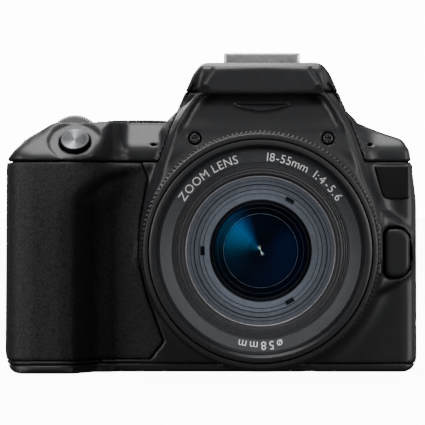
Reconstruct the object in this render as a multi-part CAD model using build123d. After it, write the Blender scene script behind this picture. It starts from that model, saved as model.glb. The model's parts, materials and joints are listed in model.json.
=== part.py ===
from build123d import *
import math
import os

# A digital reflex camera with a standard zoom lens, in millimetres.
# The origin is the mouth of the tripod socket, straight below the lens axis. +Z is up,
# -Y is the way the lens looks, and +X is at the right of someone who faces the lens.

# Body
LENS_Z = 36.3            # height of the lens axis
FLANGE_Y = -26.0         # face that the lens seats on
FRONT_Y = -17.0          # front face beside the lens
GRIP_Y = -31.3           # front of the grip
REAR_Y = 30.0            # rear face
DECK_Z = 73.4            # top deck
ROOF_Z = 91.3            # roof of the prism hump
WALL = 2.4               # moulded wall, leather included
SKIN = 0.9               # leather skin
TOP_SEAM_Z = 61.8        # seam between the top cover and the covers below
BASE_SEAM_Z = 2.6        # seam of the bottom cover
SIDE_SEAM_Y = 4.0        # seam between the front and rear covers
GRIP_SEAM_X = -47.3      # edge of the grip shell
LEFT_X = -75.8
RIGHT_X = 46.3
FIT = 0.3                # clearance round what moves

# Outlines as points, each with the radius of its corner
BODY_FRONT = [
    (LEFT_X, 0, 4), (RIGHT_X, 0, 4), (46.0, 50, 20), (43.6, 65.2, 3), (41.5, 68.6, 4),
    (27.5, DECK_Z, 6), (-60.5, DECK_Z, 6), (-67.8, 69.3, 4), (-75.2, 62.4, 5),
]
BODY_SIDE = [
    (FRONT_Y, 0, 2.8), (REAR_Y, 0, 2.8), (REAR_Y, 66, 5), (25, DECK_Z, 4),
    (-8, DECK_Z, 4), (FRONT_Y, 65.5, 4),
]
BODY_PLAN = [
    (LEFT_X, FRONT_Y, 3), (RIGHT_X, FRONT_Y, 5), (RIGHT_X, REAR_Y, 4), (LEFT_X, REAR_Y, 8),
]
HUMP_FRONT = [
    (-29.8, 63.5, 0), (29.8, 63.5, 0), (27.6, 71.5, 0), (20.3, 87.2, 5), (17.4, ROOF_Z, 3),
    (-17.4, ROOF_Z, 3), (-20.3, 87.2, 5), (-27.6, 71.5, 0),
]
HUMP_SIDE = [
    (-19, 63.5, 0), (33, 63.5, 2.6), (33, 85.2, 3), (29, 89.6, 3), (24.8, ROOF_Z, 3),
    (-8, ROOF_Z, 12), (-23.2, 89.6, 2.6), (-24.4, 81.5, 2.6), (-19, 77.6, 0),
]
HUMP_PLAN = [
    (-17.6, -24.4, 3), (17.6, -24.4, 3), (24, -14, 6), (29.8, -5, 6), (29.8, 26, 4),
    (24.5, 33, 4), (-24.5, 33, 4), (-29.8, 26, 4), (-29.8, -5, 6), (-24, -14, 6),
]
HOUSING_FACE = [(-34.4, 33), (34.4, 33), (31, 50), (25.2, 69), (18.6, 82), (-18.6, 82),
                (-25.2, 69), (-31, 50)]
HOUSING_FACE_Y = -24.0
HOUSING_ROOT_Y = -12.0
HOUSING_SPREAD = 4.0     # growth of the housing from its face to its root
BOSS_R = 34.6
BROW_HOLLOW = [(-30, 68.4), (-24, 70.2), (-19.6, 77.6), (-19.6, 81.3), (-30, 81.3)]
BROW_SIDES = [(-23, 66), (23, 66), (23, 69.5), (20.4, 75.5), (17.6, 83), (-17.6, 83),
              (-20.4, 75.5), (-23, 69.5)]
GRIP_PLAN = [
    (LEFT_X, 12, 0), (LEFT_X, -20, 10), (-72.6, -29.2, 6), (-66.5, GRIP_Y, 5),
    (-58.5, GRIP_Y, 5), (-54.2, -29.6, 3.5), (-51.6, -24.5, 0), (-48.6, -18.2, 4),
    (-44, -16.9, 0), (-44, 12, 0),
]
LEDGE_PLAN = [
    (LEFT_X, 12, 0), (LEFT_X, -20, 10), (-72.6, -29.2, 6), (-66.5, GRIP_Y, 5),
    (-58, GRIP_Y, 8), (-49.5, -27.2, 6), (-43.5, -20.5, 6), (-36, FRONT_Y, 4),
    (-32, -16.5, 0), (-32, 12, 0),
]
LEDGE_FRONT = [
    (-80, 46, 0), (-57, 49, 0), (-46, 56.8, 6), (-31, 60.5, 0), (-31, 80, 0), (-80, 80, 0),
]
GRIP_SIDE = [
    (GRIP_Y, 0, 3.2), (12.5, 0, 0), (12.5, DECK_Z, 0), (-20.6, DECK_Z, 2.6),
    (-30.7, 63.3, 0), (GRIP_Y, TOP_SEAM_Z, 0),
]
LEATHER = [
    (-80, 3.7), (-32.6, 3.7), (-28.5, 9), (-33.5, 22.5), (-36, 33), (-35.6, 44),
    (-33.2, 57), (-35.3, TOP_SEAM_Z), (-80, TOP_SEAM_Z),
]

# Screen on the rear
SCREEN_FLOOR_Y = 24.6
SCREEN_X = (-36.4, 40.4)
SCREEN_Z = (5.2, 62.0)
SCREEN_Y = (25.0, 30.6)
SCREEN_GAP = 0.6
HINGE_X = 43.5
HINGE_Y = 27.9
HINGE_R = 2.5

# Top controls
PLATEAU_TILT = 45.0
SHUTTER_AT = (-54.3, -26.0, 67.9)
SHUTTER_R = 4.3
DIAL_AT = (-54.8, 67.6)
DIAL_R = 8.0
DIAL_Y = (-18.4, -13.6)
MODE_AT = (-37.4, 7.0)
MODE_R = 9.4
MODE_Z = (69.3, 74.4)
WELL_Z = 68.9
WELL_R = 12.4            # well that the mode dial and its lever turn in
LEVER_REACH = 15.8       # radius that the lever's tab needs
LEVER_SWEEP = (90, 162)  # degrees that the lever's tab needs, from +X towards +Y
TOP_BUTTONS = {"iso_button": (-46.5, -8.5), "disp_button": (-55.5, -5.5)}
TOP_BUTTON_R = 2.3
MICROPHONES = ((-31.8, 66.8), (31.8, 66.8))

# Pop-up flash
FLASH_PIVOT = (1.0, 88.5)
FLASH_BARREL_R = 2.8
FLASH_FLOOR_Z = 82.1
FLASH_REACH = 24.3       # from the pivot to the front of the head
FLASH_WALL = 1.7         # floor and rear wall under the head
FLASH_REAR_Y = 5.6       # rear of that wall

# Eyepiece
EYE_Z = 74.0
DIOPTER_AT = (-20.4, 78.0)
DIOPTER_R = 2.8

# Rear buttons
PAD_AT = (-55.5, 27.0)
PAD_R = 9.2
PAD_STEM_R = 5.5
SET_R = 3.2
REAR_BUTTONS = {"menu_button": (-45.5, 54.0), "play_button": (-64.0, 10.5)}
REAR_BUTTON_R = 2.7

# Lens release
RELEASE_X = (36.0, 43.4)
RELEASE_Z = (28.0, 42.2)
COLLAR_AT = (33.4, 35.4)
COLLAR_R = 11.4
PIN_R_AT = 29.6          # distance of the lock pin from the lens axis
MOUNT_SCREWS_AT = 30.1   # distance of the mount screws from it
PIN_R = 1.1

# Lens
MOUNT_PLATE_R = 32.3
BAYONET_R = 24.3
TAB_R = 26.8
THROAT_R = 27.4
ZOOM_R = 33.25
ZOOM_Y = (-79.8, -50.0)
GUIDE_R = (30.0, 30.8)
INNER_R = (28.2, 29.7)
FOCUS_R = (30.9, 32.3)
FOCUS_Y = (-87.2, -81.1)
FRONT_RIM_Y = -87.8
GLASS_R = 20.6
SWITCH_Z = {"af_switch": LENS_Z + 5.5, "stabiliser_switch": LENS_Z - 5.5}

# Strap lugs: X, Z and the side they face
LUGS = ((-70.6, 66.9, -1), (40.9, 66.4, 1))

# Cover screws
PANEL_SCREWS = ((-19.4, 68.5), (19.4, 68.5))
BASE_SCREWS = ((-40, -10), (-40, 22), (36, -10), (38, 20), (14, -14), (-14, 20))

# Reflex mirror
MIRROR_PIVOT = (9.0, 49.5)
MIRROR_LENGTH = 27.0
SUB_MIRROR_FROM = 10.0   # along the main mirror
SUB_MIRROR_LENGTH = 11.0

# Doors
BATTERY_DOOR_X = (-71.8, -53.4)
BATTERY_DOOR_Y = (-25.0, 11.0)
TERMINAL_Y = (-13.0, 9.0)
TERMINAL_Z = (14.0, 56.0)

SOCKET_R = 3.175         # 1/4 inch tripod thread


# Outlines and prisms

def shrink(points, amount):
    """Moves each side of an anticlockwise outline inwards, and each corner radius with it."""
    moved = []
    for i, here in enumerate(points):
        before = points[i - 1]
        after = points[(i + 1) % len(points)]
        a = math.atan2(here[1] - before[1], here[0] - before[0])
        b = math.atan2(after[1] - here[1], after[0] - here[0])
        n = (-math.sin(a) - math.sin(b), math.cos(a) + math.cos(b))
        scale = amount / (1 + math.cos(a - b))
        corner = here[2] if len(here) > 2 else 0
        if corner:
            turns_left = math.sin(b - a) > 0
            corner = max(corner - amount, 0.3) if turns_left else corner + amount
        moved.append((here[0] + n[0] * scale, here[1] + n[1] * scale, corner))
    return moved


def outline(points, inset=0.0):
    """A closed face with rounded corners."""
    moved = shrink(points, inset)
    return make_face(
        FilletPolyline(
            [(p[0], p[1]) for p in moved], radius=[p[2] for p in moved], close=True
        )
    )


def prism_x(points, x0, x1, inset=0.0):
    """An outline in Y and Z, drawn out along X."""
    plane = Plane(origin=(x0, 0, 0), x_dir=(0, 1, 0), z_dir=(1, 0, 0))
    return extrude(plane * outline(points, inset), amount=x1 - x0, dir=(1, 0, 0))


def prism_y(points, y0, y1, inset=0.0):
    """An outline in X and Z, drawn out along Y."""
    plane = Plane(origin=(0, y1, 0), x_dir=(1, 0, 0), z_dir=(0, -1, 0))
    return extrude(plane * outline(points, inset), amount=y1 - y0, dir=(0, -1, 0))


def prism_z(points, z0, z1, inset=0.0):
    """An outline in X and Y, drawn out along Z."""
    return extrude(Pos(0, 0, z0) * outline(points, inset), amount=z1 - z0, dir=(0, 0, 1))


def block(x, y, z):
    """A box between the two limits given along each axis."""
    middle = Pos((x[0] + x[1]) / 2, (y[0] + y[1]) / 2, (z[0] + z[1]) / 2)
    return middle * Box(x[1] - x[0], y[1] - y[0], z[1] - z[0])


def rounded(x, z, radius):
    """The corners of an upright rounded rectangle in X and Z."""
    return [(x[0], z[0], radius), (x[1], z[0], radius), (x[1], z[1], radius), (x[0], z[1], radius)]


def rod(start, direction, radius, length):
    """A cylinder from a point along a direction."""
    return extrude(Plane(origin=start, z_dir=direction) * Circle(radius), amount=length)


def rod_x(y, z, radius, x0, x1):
    return rod((x0, y, z), (1, 0, 0), radius, x1 - x0)


def rod_y(x, z, radius, y0, y1):
    return rod((x, y0, z), (0, 1, 0), radius, y1 - y0)


def rod_z(x, y, radius, z0, z1):
    return rod((x, y, z0), (0, 0, 1), radius, z1 - z0)


def ring(outer, inner, y0, y1):
    """A tube on the lens axis."""
    return rod_y(0, LENS_Z, outer, y0, y1) - rod_y(0, LENS_Z, inner, y0 - 1, y1 + 1)


def lathe(points):
    """A profile of radius and Y, turned about the lens axis."""
    return Pos(0, 0, LENS_Z) * revolve(make_face(Polyline(*points, close=True)), Axis.Y)


def sector(inner, outer, y0, y1, start, sweep):
    """Part of a tube on the lens axis. Angles run from +X towards +Z."""
    face = make_face(Polyline((inner, y0), (outer, y0), (outer, y1), (inner, y1), close=True))
    turned = Rot(0, -(start + sweep), 0) * revolve(face, Axis.Y, sweep)
    return Pos(0, 0, LENS_Z) * turned


# The body's outer form, and the same form inset for what lies under it

def slab(inset):
    form = prism_y(BODY_FRONT, -40, 40, inset)
    form &= prism_x(BODY_SIDE, -90, 60, inset)
    return form & prism_z(BODY_PLAN, -5, 80, inset)


def hump(inset):
    form = prism_y(HUMP_FRONT, -40, 40, inset)
    form &= prism_z(HUMP_PLAN, 60, 95, inset)
    return form & prism_x(HUMP_SIDE, -40, 40, inset)


def housing(inset):
    """The shield that carries the lens mount, wider at its root than at its face."""
    face = Plane(origin=(0, HOUSING_FACE_Y + inset, 0), x_dir=(1, 0, 0), z_dir=(0, -1, 0))
    root = Plane(origin=(0, HOUSING_ROOT_Y, 0), x_dir=(1, 0, 0), z_dir=(0, -1, 0))
    shield = loft(
        [face * outline(HOUSING_FACE, inset), root * outline(HOUSING_FACE, inset - HOUSING_SPREAD)],
        ruled=True,
    )
    boss = rod_y(0, LENS_Z, BOSS_R - inset, HOUSING_FACE_Y + inset, HOUSING_ROOT_Y)
    return shield + boss


def grip(inset):
    column = prism_z(GRIP_PLAN, -1, 80, inset)
    ledge = prism_z(LEDGE_PLAN, -1, 80, inset) & prism_y(LEDGE_FRONT, -40, 20, inset)
    form = (column + ledge) & prism_x(GRIP_SIDE, -90, -20, inset)
    return form & prism_y(BODY_FRONT, -40, 20, inset)


def screen_recess(inset):
    """Room for the folded screen, open towards the side."""
    return block(
        (SCREEN_X[0] - SCREEN_GAP - inset, 60),
        (SCREEN_FLOOR_Y - inset, 60),
        (SCREEN_Z[0] - SCREEN_GAP - inset, SCREEN_Z[1] + SCREEN_GAP + inset),
    )


def body_form(inset):
    form = slab(inset) + hump(inset) + housing(inset) + grip(inset)
    form -= prism_x(BROW_HOLLOW, -40, 40, -inset) & prism_y(BROW_SIDES, -40, 0, -inset)
    return form - screen_recess(inset)


# Covers

def leather_zone():
    return prism_y(LEATHER, -40, SIDE_SEAM_Y)


def flash_space(clearance):
    """What the flash head needs, whether down or raised."""
    pivot_y, pivot_z = FLASH_PIVOT
    reach = rod_x(pivot_y, pivot_z, FLASH_REACH + clearance, -30, 30)
    front = block((-30, 30), (-30, pivot_y), (FLASH_FLOOR_Z, 95)) & reach
    barrel = rod_x(pivot_y, pivot_z, FLASH_BARREL_R + clearance, -30, 30)
    behind = block((-30, 30), (pivot_y, pivot_y + FLASH_BARREL_R + clearance), (pivot_z, 95))
    return front + barrel + behind


def flash_well(cavity):
    """Floor and rear wall under the flash head."""
    floor = block((-30, 30), (-23, FLASH_REAR_Y), (FLASH_FLOOR_Z - FLASH_WALL, FLASH_FLOOR_Z))
    rear = block((-30, 30), (FLASH_REAR_Y - 1.5, FLASH_REAR_Y), (FLASH_FLOOR_Z - FLASH_WALL, ROOF_Z))
    return (floor + rear) & cavity


def plateau_plane():
    """The tilted seat of the shutter button, its normal up and forwards."""
    tilt = math.radians(PLATEAU_TILT)
    return Plane(origin=SHUTTER_AT, x_dir=(1, 0, 0), z_dir=(0, -math.sin(tilt), math.cos(tilt)))


def cut_top(cover):
    """Openings of the top cover for its controls, shoe, flash and eyepiece."""
    seat = plateau_plane()
    cover -= extrude(seat.offset(-6) * Circle(SHUTTER_R + FIT), amount=12)
    cover -= extrude(seat.offset(-0.6) * Circle(SHUTTER_R + 2.6), amount=8)
    cover -= rod_y(DIAL_AT[0], DIAL_AT[1], DIAL_R + 0.5, DIAL_Y[0] - 0.4, DIAL_Y[1] + 0.4)
    well = rod_z(MODE_AT[0], MODE_AT[1], WELL_R, WELL_Z, 80) + lever_sweep(LEVER_REACH, WELL_Z, 80)
    plate = rod_z(MODE_AT[0], MODE_AT[1], LEVER_REACH + 1.2, WELL_Z - 1.6, DECK_Z - 1)
    cover += plate & slab(1.0)
    cover -= well
    for x, y in TOP_BUTTONS.values():
        cover -= rod_z(x, y, TOP_BUTTON_R + FIT, 66, 80)
    cover -= rod_z(MODE_AT[0], MODE_AT[1], 2.2, 60, 80)
    cover -= prism_y(rounded((-10, 10), (EYE_Z - 7.4, EYE_Z + 7.4), 3), 20, 40)
    cover -= rod_y(DIOPTER_AT[0], DIOPTER_AT[1], DIOPTER_R + FIT, 31.4, 40)
    cover -= rod_y(DIOPTER_AT[0], DIOPTER_AT[1], 1.1, 28, 40)
    for x, z in MICROPHONES:
        cover -= block((x - 0.9, x + 0.9), (-20, -5), (z - 0.4, z + 0.4))
    for lug in LUGS:
        cover -= lug_disc(*lug)
    return cover


def lever_sweep(radius, z0, z1):
    """The sector that the power lever's tab moves through."""
    arc = [math.radians(a) for a in range(LEVER_SWEEP[0], LEVER_SWEEP[1] + 1, 6)]
    points = [(0, 0, 0)] + [(radius * math.cos(a), radius * math.sin(a), 0) for a in arc]
    return Pos(MODE_AT[0], MODE_AT[1], 0) * prism_z(points, z0, z1)


def seams(form, skinless, cavity):
    """The moulded shell, thinner where the leather lies on it."""
    zone = leather_zone()
    return (form - zone) + (skinless & zone) - cavity


def make_covers():
    form = body_form(0)
    skinless = body_form(SKIN)
    cavity = body_form(WALL)
    shell = seams(form, skinless, cavity)
    middle = block((-90, 60), (-40, 45), (BASE_SEAM_Z, TOP_SEAM_Z))
    upper = block((-90, 60), (-40, 45), (TOP_SEAM_Z, 100))
    shield = prism_y(HOUSING_FACE, -40, -15, -2.0) & block((-60, 60), (-40, -14.6), (0, 82.0))
    front_half = block((-90, 60), (-40, SIDE_SEAM_Y), (-1, 100))

    top = (shell & upper) - shield
    top -= flash_space(FIT)
    top += flash_well(cavity)
    top -= flash_space(FIT)
    top = cut_top(top)

    front = (shell & middle & front_half) + (shell & upper & shield)
    collar = rod_y(COLLAR_AT[0], COLLAR_AT[1], COLLAR_R, FRONT_Y - 2.2, FRONT_Y + 1)
    collar -= prism_y(rounded(RELEASE_X, RELEASE_Z, 2.6), -30, FRONT_Y - 0.6, -1.0)
    front += collar & block((34, 45.4), (-30, 0), (10, 60))
    front -= rod_y(0, LENS_Z, THROAT_R, -30, -10)
    release = rounded(RELEASE_X, RELEASE_Z, 2.6)
    front -= prism_y(release, -30, -10, -FIT)
    front -= rod_y(PIN_R_AT, LENS_Z, PIN_R + 0.2, -30, -10)
    front -= block((40, 60), TERMINAL_Y, TERMINAL_Z)
    for pocket in screw_ways():
        front -= pocket
    grip_side = block((-90, GRIP_SEAM_X), (-40, SIDE_SEAM_Y), (-1, 100))

    rear = (shell & middle) - front_half
    rear -= block((40, 60), TERMINAL_Y, TERMINAL_Z)
    for z0, z1 in ((SCREEN_Z[0] - 1.2, 8.6), (58.4, TOP_SEAM_Z)):
        knuckle = rod_z(HINGE_X, HINGE_Y, HINGE_R, z0, z1)
        knuckle += block((HINGE_X - 1.4, HINGE_X + 1.4), (SCREEN_FLOOR_Y - 1, HINGE_Y), (z0, z1))
        rear += knuckle
    rear -= rod_z(HINGE_X, HINGE_Y, 1.0, 5.8, 61.2)
    rear -= rod_y(PAD_AT[0], PAD_AT[1], PAD_R + 0.5, 20, 40)
    for x, z in REAR_BUTTONS.values():
        rear -= rod_y(x, z, REAR_BUTTON_R + FIT, 20, 40)

    bottom = shell - block((-90, 60), (-60, 60), (BASE_SEAM_Z, 100))
    door = block(
        (BATTERY_DOOR_X[0] - FIT, BATTERY_DOOR_X[1] + FIT),
        (BATTERY_DOOR_Y[0] - FIT, BATTERY_DOOR_Y[1] + FIT),
        (-1, BASE_SEAM_Z + 1),
    )
    bottom -= door
    bottom -= rod_z(0, 0, 6.5, -1, 10)
    for pocket in screw_ways():
        bottom -= pocket
    return {
        "top_cover": top,
        "front_cover": front - grip_side,
        "grip_shell": front & grip_side,
        "rear_cover": rear,
        "bottom_cover": bottom,
        "grip_rubber": (form - skinless) & leather_zone(),
        "flash_head": make_flash_head(form),
        "terminal_door": make_terminal_door(form),
    }


def make_flash_head(form):
    pivot_y, pivot_z = FLASH_PIVOT
    reach = rod_x(pivot_y, pivot_z, FLASH_REACH, -30, 30)
    head = block((-30, 30), (-30, pivot_y), (FLASH_FLOOR_Z + 0.4, 95)) & reach
    head += rod_x(pivot_y, pivot_z, FLASH_BARREL_R, -30, 30)
    head &= form
    return head - block((-14.5, 14.5), (-19.5, -7), (80, 86.5))


def make_terminal_door(form):
    leaf = form - body_form(2.0)
    return leaf & block(
        (40, 60),
        (TERMINAL_Y[0] + FIT, TERMINAL_Y[1] - FIT),
        (TERMINAL_Z[0] + FIT, TERMINAL_Z[1] - FIT),
    )


def make_flash_window():
    return block((-14.3, 14.3), (-19.3, -7.2), (82.6, 83.8))


# Trim on the body

def make_prism_panel():
    points = [
        (-14.6, 81.8, 1.2), (14.6, 81.8, 1.2), (17.0, 84.6, 1.0), (16.2, 89.2, 1.2),
        (-16.2, 89.2, 1.2), (-17.0, 84.6, 1.0),
    ]
    return prism_y(points, -26.0, -24.4)


def make_badge_plate():
    points = [(36.2, 51.0, 2.4), (43.2, 51.0, 0.8), (43.2, 60.6, 0.8), (33.0, 60.6, 0.8)]
    return prism_y(points, FRONT_Y - 0.6, FRONT_Y)


def make_thumb_rubber():
    points = [(-73.0, 46.0, 3), (-60.0, 42.0, 4), (-55.0, 48.0, 4), (-54.0, 59.6, 3), (-73.0, 60.8, 3)]
    pad = prism_y(points, REAR_Y, REAR_Y + 2.4)
    return pad & prism_z([(-76, 28, 0), (-50, 28, 0), (-50, 30.4, 0), (-66, 32.4, 5), (-76, 31.0, 0)], 30, 70)


def lug_disc(x, z, side, radius=2.7):
    return rod((x + side * 0.4, 6, z - 1.4), (side * 0.8, 0, 0.6), radius, 2.0)


def make_strap_lugs():
    return [lug_disc(*lug) - lug_disc(*lug, radius=1.3) for lug in LUGS]


def make_hot_shoe():
    x = (-11.4, 11.4)
    y = (6.0, 25.0)
    shoe = block(x, y, (ROOF_Z, 94.8))
    shoe -= block((-9.5, 9.5), (y[0] + 1.4, y[1] + 1), (92.1, 94.1))
    return shoe - block((-6.4, 6.4), (y[0] + 1.4, y[1] + 1), (92.1, 96))


def screw(start, direction, play=0.0):
    """A screw from the top of its head inwards; play gives the hole that it fits."""
    head = rod(start, direction, 1.5 + play, 1.0)
    return head + rod(start, direction, 0.7 + play / 4, 3.6)


def make_cover_screws(play=0.0):
    """Two screws in the housing and six in the base."""
    head_y = HOUSING_FACE_Y + 0.2
    screws = [screw((x, head_y, z), (0, 1, 0), play) for x, z in PANEL_SCREWS]
    return screws + [screw((x, y, 0.3), (0, 0, 1), play) for x, y in BASE_SCREWS]


def screw_ways():
    """The screws' pockets, open to the outside."""
    pockets = make_cover_screws(play=0.3)
    pockets += [rod((x, -30, z), (0, 1, 0), 1.8, 7) for x, z in PANEL_SCREWS]
    return pockets + [rod_z(x, y, 1.8, -1, 1) for x, y in BASE_SCREWS]


def make_eyecup():
    outer = rounded((-16.2, 16.2), (EYE_Z - 9.6, EYE_Z + 10.2), 6)
    cup = prism_y(outer, 33.0, 38.5)
    cup -= prism_y(rounded((-9.4, 9.4), (EYE_Z - 6.6, EYE_Z + 6.6), 2.8), 30, 36)
    return cup - prism_y(rounded((-11.4, 11.4), (EYE_Z - 7.8, EYE_Z + 7.8), 4), 35.4, 40)


def make_eyepiece_lens():
    return prism_y(rounded((-9.7, 9.7), (EYE_Z - 7.1, EYE_Z + 7.1), 2.8), 24.0, 32.6)


def make_diopter_dial():
    x, z = DIOPTER_AT
    return rod_y(x, z, DIOPTER_R, 31.7, 34.4) + rod_y(x, z, 1.0, 29.5, 32.0)


# Top controls

def make_shutter_button():
    seat = plateau_plane()
    button = extrude(seat.offset(-1.0) * Circle(SHUTTER_R), amount=2.4)
    button = chamfer(button.edges().sort_by(Axis((0, 0, 0), seat.z_dir))[-1], 0.5)
    return button + extrude(seat.offset(-5) * Circle(1.4), amount=4.4)


def make_main_dial():
    x, z = DIAL_AT
    dial = rod_y(x, z, DIAL_R, DIAL_Y[0], DIAL_Y[1])
    return chamfer(dial.edges().filter_by(GeomType.CIRCLE), 0.5)


def make_mode_dial():
    x, y = MODE_AT
    dial = rod_z(x, y, MODE_R, MODE_Z[0] + 0.2, MODE_Z[1])
    dial = chamfer(dial.edges().sort_by(Axis.Z)[-1], 0.6)
    return dial + rod_z(x, y, 2.0, 64.0, 70.0)


def make_power_lever():
    x, y = MODE_AT
    collar = rod_z(0, 0, 12.0, MODE_Z[0], 71.0) - rod_z(0, 0, MODE_R + 0.4, 60, 80)
    tab = block((10.8, 15.2), (-2.0, 2.0), (MODE_Z[0], 72.6))
    return Pos(x, y, 0) * (collar + Rot(0, 0, 100) * tab)


def make_top_button(x, y):
    cap = rod_z(x, y, TOP_BUTTON_R, 70.2, DECK_Z + 0.4)
    return chamfer(cap.edges().sort_by(Axis.Z)[-1], 0.3)


# Rear controls

def make_rear_button(x, z):
    cap = rod_y(x, z, REAR_BUTTON_R, 26.8, REAR_Y + 0.9)
    return chamfer(cap.edges().sort_by(Axis.Y)[-1], 0.3)


def make_direction_pad():
    x, z = PAD_AT
    pad = rod_y(x, z, PAD_R, 28.4, REAR_Y + 1.2) - rod_y(x, z, SET_R + FIT, 20, 40)
    pad = chamfer(pad.edges().sort_by(Axis.Y)[-2:], 0.4)
    return pad + (rod_y(x, z, PAD_STEM_R, 27.2, 28.5) - rod_y(x, z, SET_R + FIT, 20, 40))


def make_pad_gimbal():
    x, z = PAD_AT
    return rod_y(x, z, PAD_STEM_R, 25.0, 26.6) - rod_y(x, z, SET_R + FIT, 20, 40)


def make_set_button():
    x, z = PAD_AT
    cap = rod_y(x, z, SET_R, 28.0, REAR_Y + 1.5)
    return chamfer(cap.edges().sort_by(Axis.Y)[-1], 0.3)


def make_screen_panel():
    outer = rounded(SCREEN_X, SCREEN_Z, 3)
    panel = prism_y(outer, SCREEN_Y[0], SCREEN_Y[1])
    panel = chamfer(panel.edges().group_by(Axis.Y)[-1], 0.5)
    return panel - prism_y(screen_window(), SCREEN_Y[1] - 1.0, 40)


def screen_window():
    return rounded((SCREEN_X[0] + 3.2, SCREEN_X[1] - 3.2), (SCREEN_Z[0] + 3.6, SCREEN_Z[1] - 3.2), 1.6)


def make_screen_glass():
    return prism_y(screen_window(), SCREEN_Y[1] - 1.0, SCREEN_Y[1])


def make_screen_arm():
    barrel = rod_z(HINGE_X, HINGE_Y, HINGE_R, 8.9, 58.1)
    web = block((SCREEN_X[1], HINGE_X), (26.4, 29.4), (14.0, 53.0))
    return barrel + web + rod_z(HINGE_X, HINGE_Y, 0.92, 6.0, 61.0)


# Doors on the base

def make_battery_door():
    leaf = block(BATTERY_DOOR_X, BATTERY_DOOR_Y, (0.2, BASE_SEAM_Z - 0.2))
    slot_y = (-14.3, -1.7)
    return leaf - block((BATTERY_DOOR_X[0] - 1, -65.4), slot_y, (-1, 1.4))


def make_battery_latch():
    return block((-71.5, -66.4), (-13.4, -5.6), (0.3, 1.3))


def make_tripod_socket():
    bush = rod_z(0, 0, 6.4, 0, 7.5)
    return bush - rod_z(0, 0, SOCKET_R, -1, 6.5)


# Inside the body

def make_mirror_box():
    box = block((-18, 18), (-19.0, 13.2), (19.6, 54.4))
    box += rod_y(0, LENS_Z, 31.4, -21.5, -18.4)
    box -= rod_y(0, LENS_Z, THROAT_R, -30, -19.8)
    box -= block((-15.6, 15.6), (-30, 20), (22.0, 52.2))
    box -= block((-13.5, 13.5), (-17, 8), (50, 60))
    return box - rod_y(PIN_R_AT, LENS_Z, PIN_R + 0.2, -30, -10)


def mirror_bar(start, angle, length, thickness, width):
    """A flat mirror from a pivot, its reflecting face on the left of the direction."""
    y, z = start
    dy, dz = math.cos(angle), math.sin(angle)
    ny, nz = dz, -dy
    points = [
        (y, z), (y + dy * length, z + dz * length),
        (y + dy * length - ny * thickness, z + dz * length - nz * thickness),
        (y - ny * thickness, z - nz * thickness),
    ]
    return prism_x(points, -width / 2, width / 2)


def make_reflex_mirror():
    y, z = MIRROR_PIVOT
    return mirror_bar((y, z), math.radians(225), MIRROR_LENGTH, 1.4, 25.0)


def sub_mirror_pivot():
    half = math.sqrt(0.5)
    y = MIRROR_PIVOT[0] - half * SUB_MIRROR_FROM + half * 2.2
    z = MIRROR_PIVOT[1] - half * SUB_MIRROR_FROM - half * 2.2
    return y, z


def make_sub_mirror():
    return mirror_bar(sub_mirror_pivot(), math.radians(315), SUB_MIRROR_LENGTH, 0.8, 16.0)


def make_focusing_screen():
    return block((-13.2, 13.2), (-16.8, 7.8), (52.6, 54.2))


def make_pentamirror():
    side = [(-16, 54.9), (9, 54.9), (14, 62), (14, 79.6), (-4, 79.6), (-16, 68)]
    front = [(-14, 54, 0), (14, 54, 0), (14, 68, 0), (4, 79.9, 2), (-4, 79.9, 2), (-14, 68, 0)]
    return prism_x(side, -14, 14) & prism_y(front, -20, 20)


def make_shutter_unit():
    frame = block((-20, 20), (13.4, 16.6), (19.0, 54.0))
    return frame - block((-11.8, 11.8), (10, 14.6), (28.2, 44.4))


def make_image_sensor():
    carrier = block((-15, 15), (18.0, 20.4), (25.0, 47.6))
    return carrier + block((-12.5, 12.5), (17.0, 18.0), (27.8, 44.8))


def make_main_board():
    board = block((-34, 41.5), (20.7, 21.9), (8.0, 60.0))
    for x, z in ((-27, 48), (-26, 20), (26, 46), (28, 18)):
        board += block((x - 5, x + 5), (19.3, 20.7), (z - 5, z + 5))
    return board


def make_battery():
    return block((-70.8, -57.0), (-23.0, 9.8), (3.4, 52.4))


def make_memory_card():
    return block((-55.6, -53.5), (-12.0, 12.0), (4.0, 36.0))


# Mount and its lock

def make_mount_ring():
    plate = ring(33.0, THROAT_R - 0.2, FLANGE_Y, HOUSING_FACE_Y)
    for start in (10, 130, 250):
        plate += sector(24.8, THROAT_R, FLANGE_Y, -23.1, start, 52)
    plate -= rod_y(PIN_R_AT, LENS_Z, PIN_R + 0.2, -30, -20)
    for x, z in mount_screw_places():
        plate -= rod_y(x, z, 1.7, -30, -20)
    return plate


def mount_screw_places():
    places = []
    for angle in (45, 135, 225, 315):
        a = math.radians(angle)
        places.append((MOUNT_SCREWS_AT * math.cos(a), LENS_Z + MOUNT_SCREWS_AT * math.sin(a)))
    return places


def make_mount_screws():
    return [rod_y(x, z, 1.6, FLANGE_Y + 0.3, HOUSING_FACE_Y) for x, z in mount_screw_places()]


def make_lock_pin():
    return rod_y(PIN_R_AT, LENS_Z, PIN_R, -27.2, -18.6)


def make_release_button():
    cap = prism_y(rounded(RELEASE_X, RELEASE_Z, 2.6), FRONT_Y - 2.6, -13.4)
    return chamfer(cap.edges().group_by(Axis.Y)[0], 0.5)


# Lens

def make_mount_plate():
    plate = ring(MOUNT_PLATE_R, 22.0, -29.0, FLANGE_Y - 0.05)
    plate += ring(BAYONET_R, 22.0, -26.5, -20.7)
    for start in (12, 132, 252):
        plate += sector(BAYONET_R - 0.5, TAB_R, -22.6, -20.7, start, 48)
    return plate - sector(28.0, 31.2, -27.9, -26.0, -66, 72)


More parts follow.
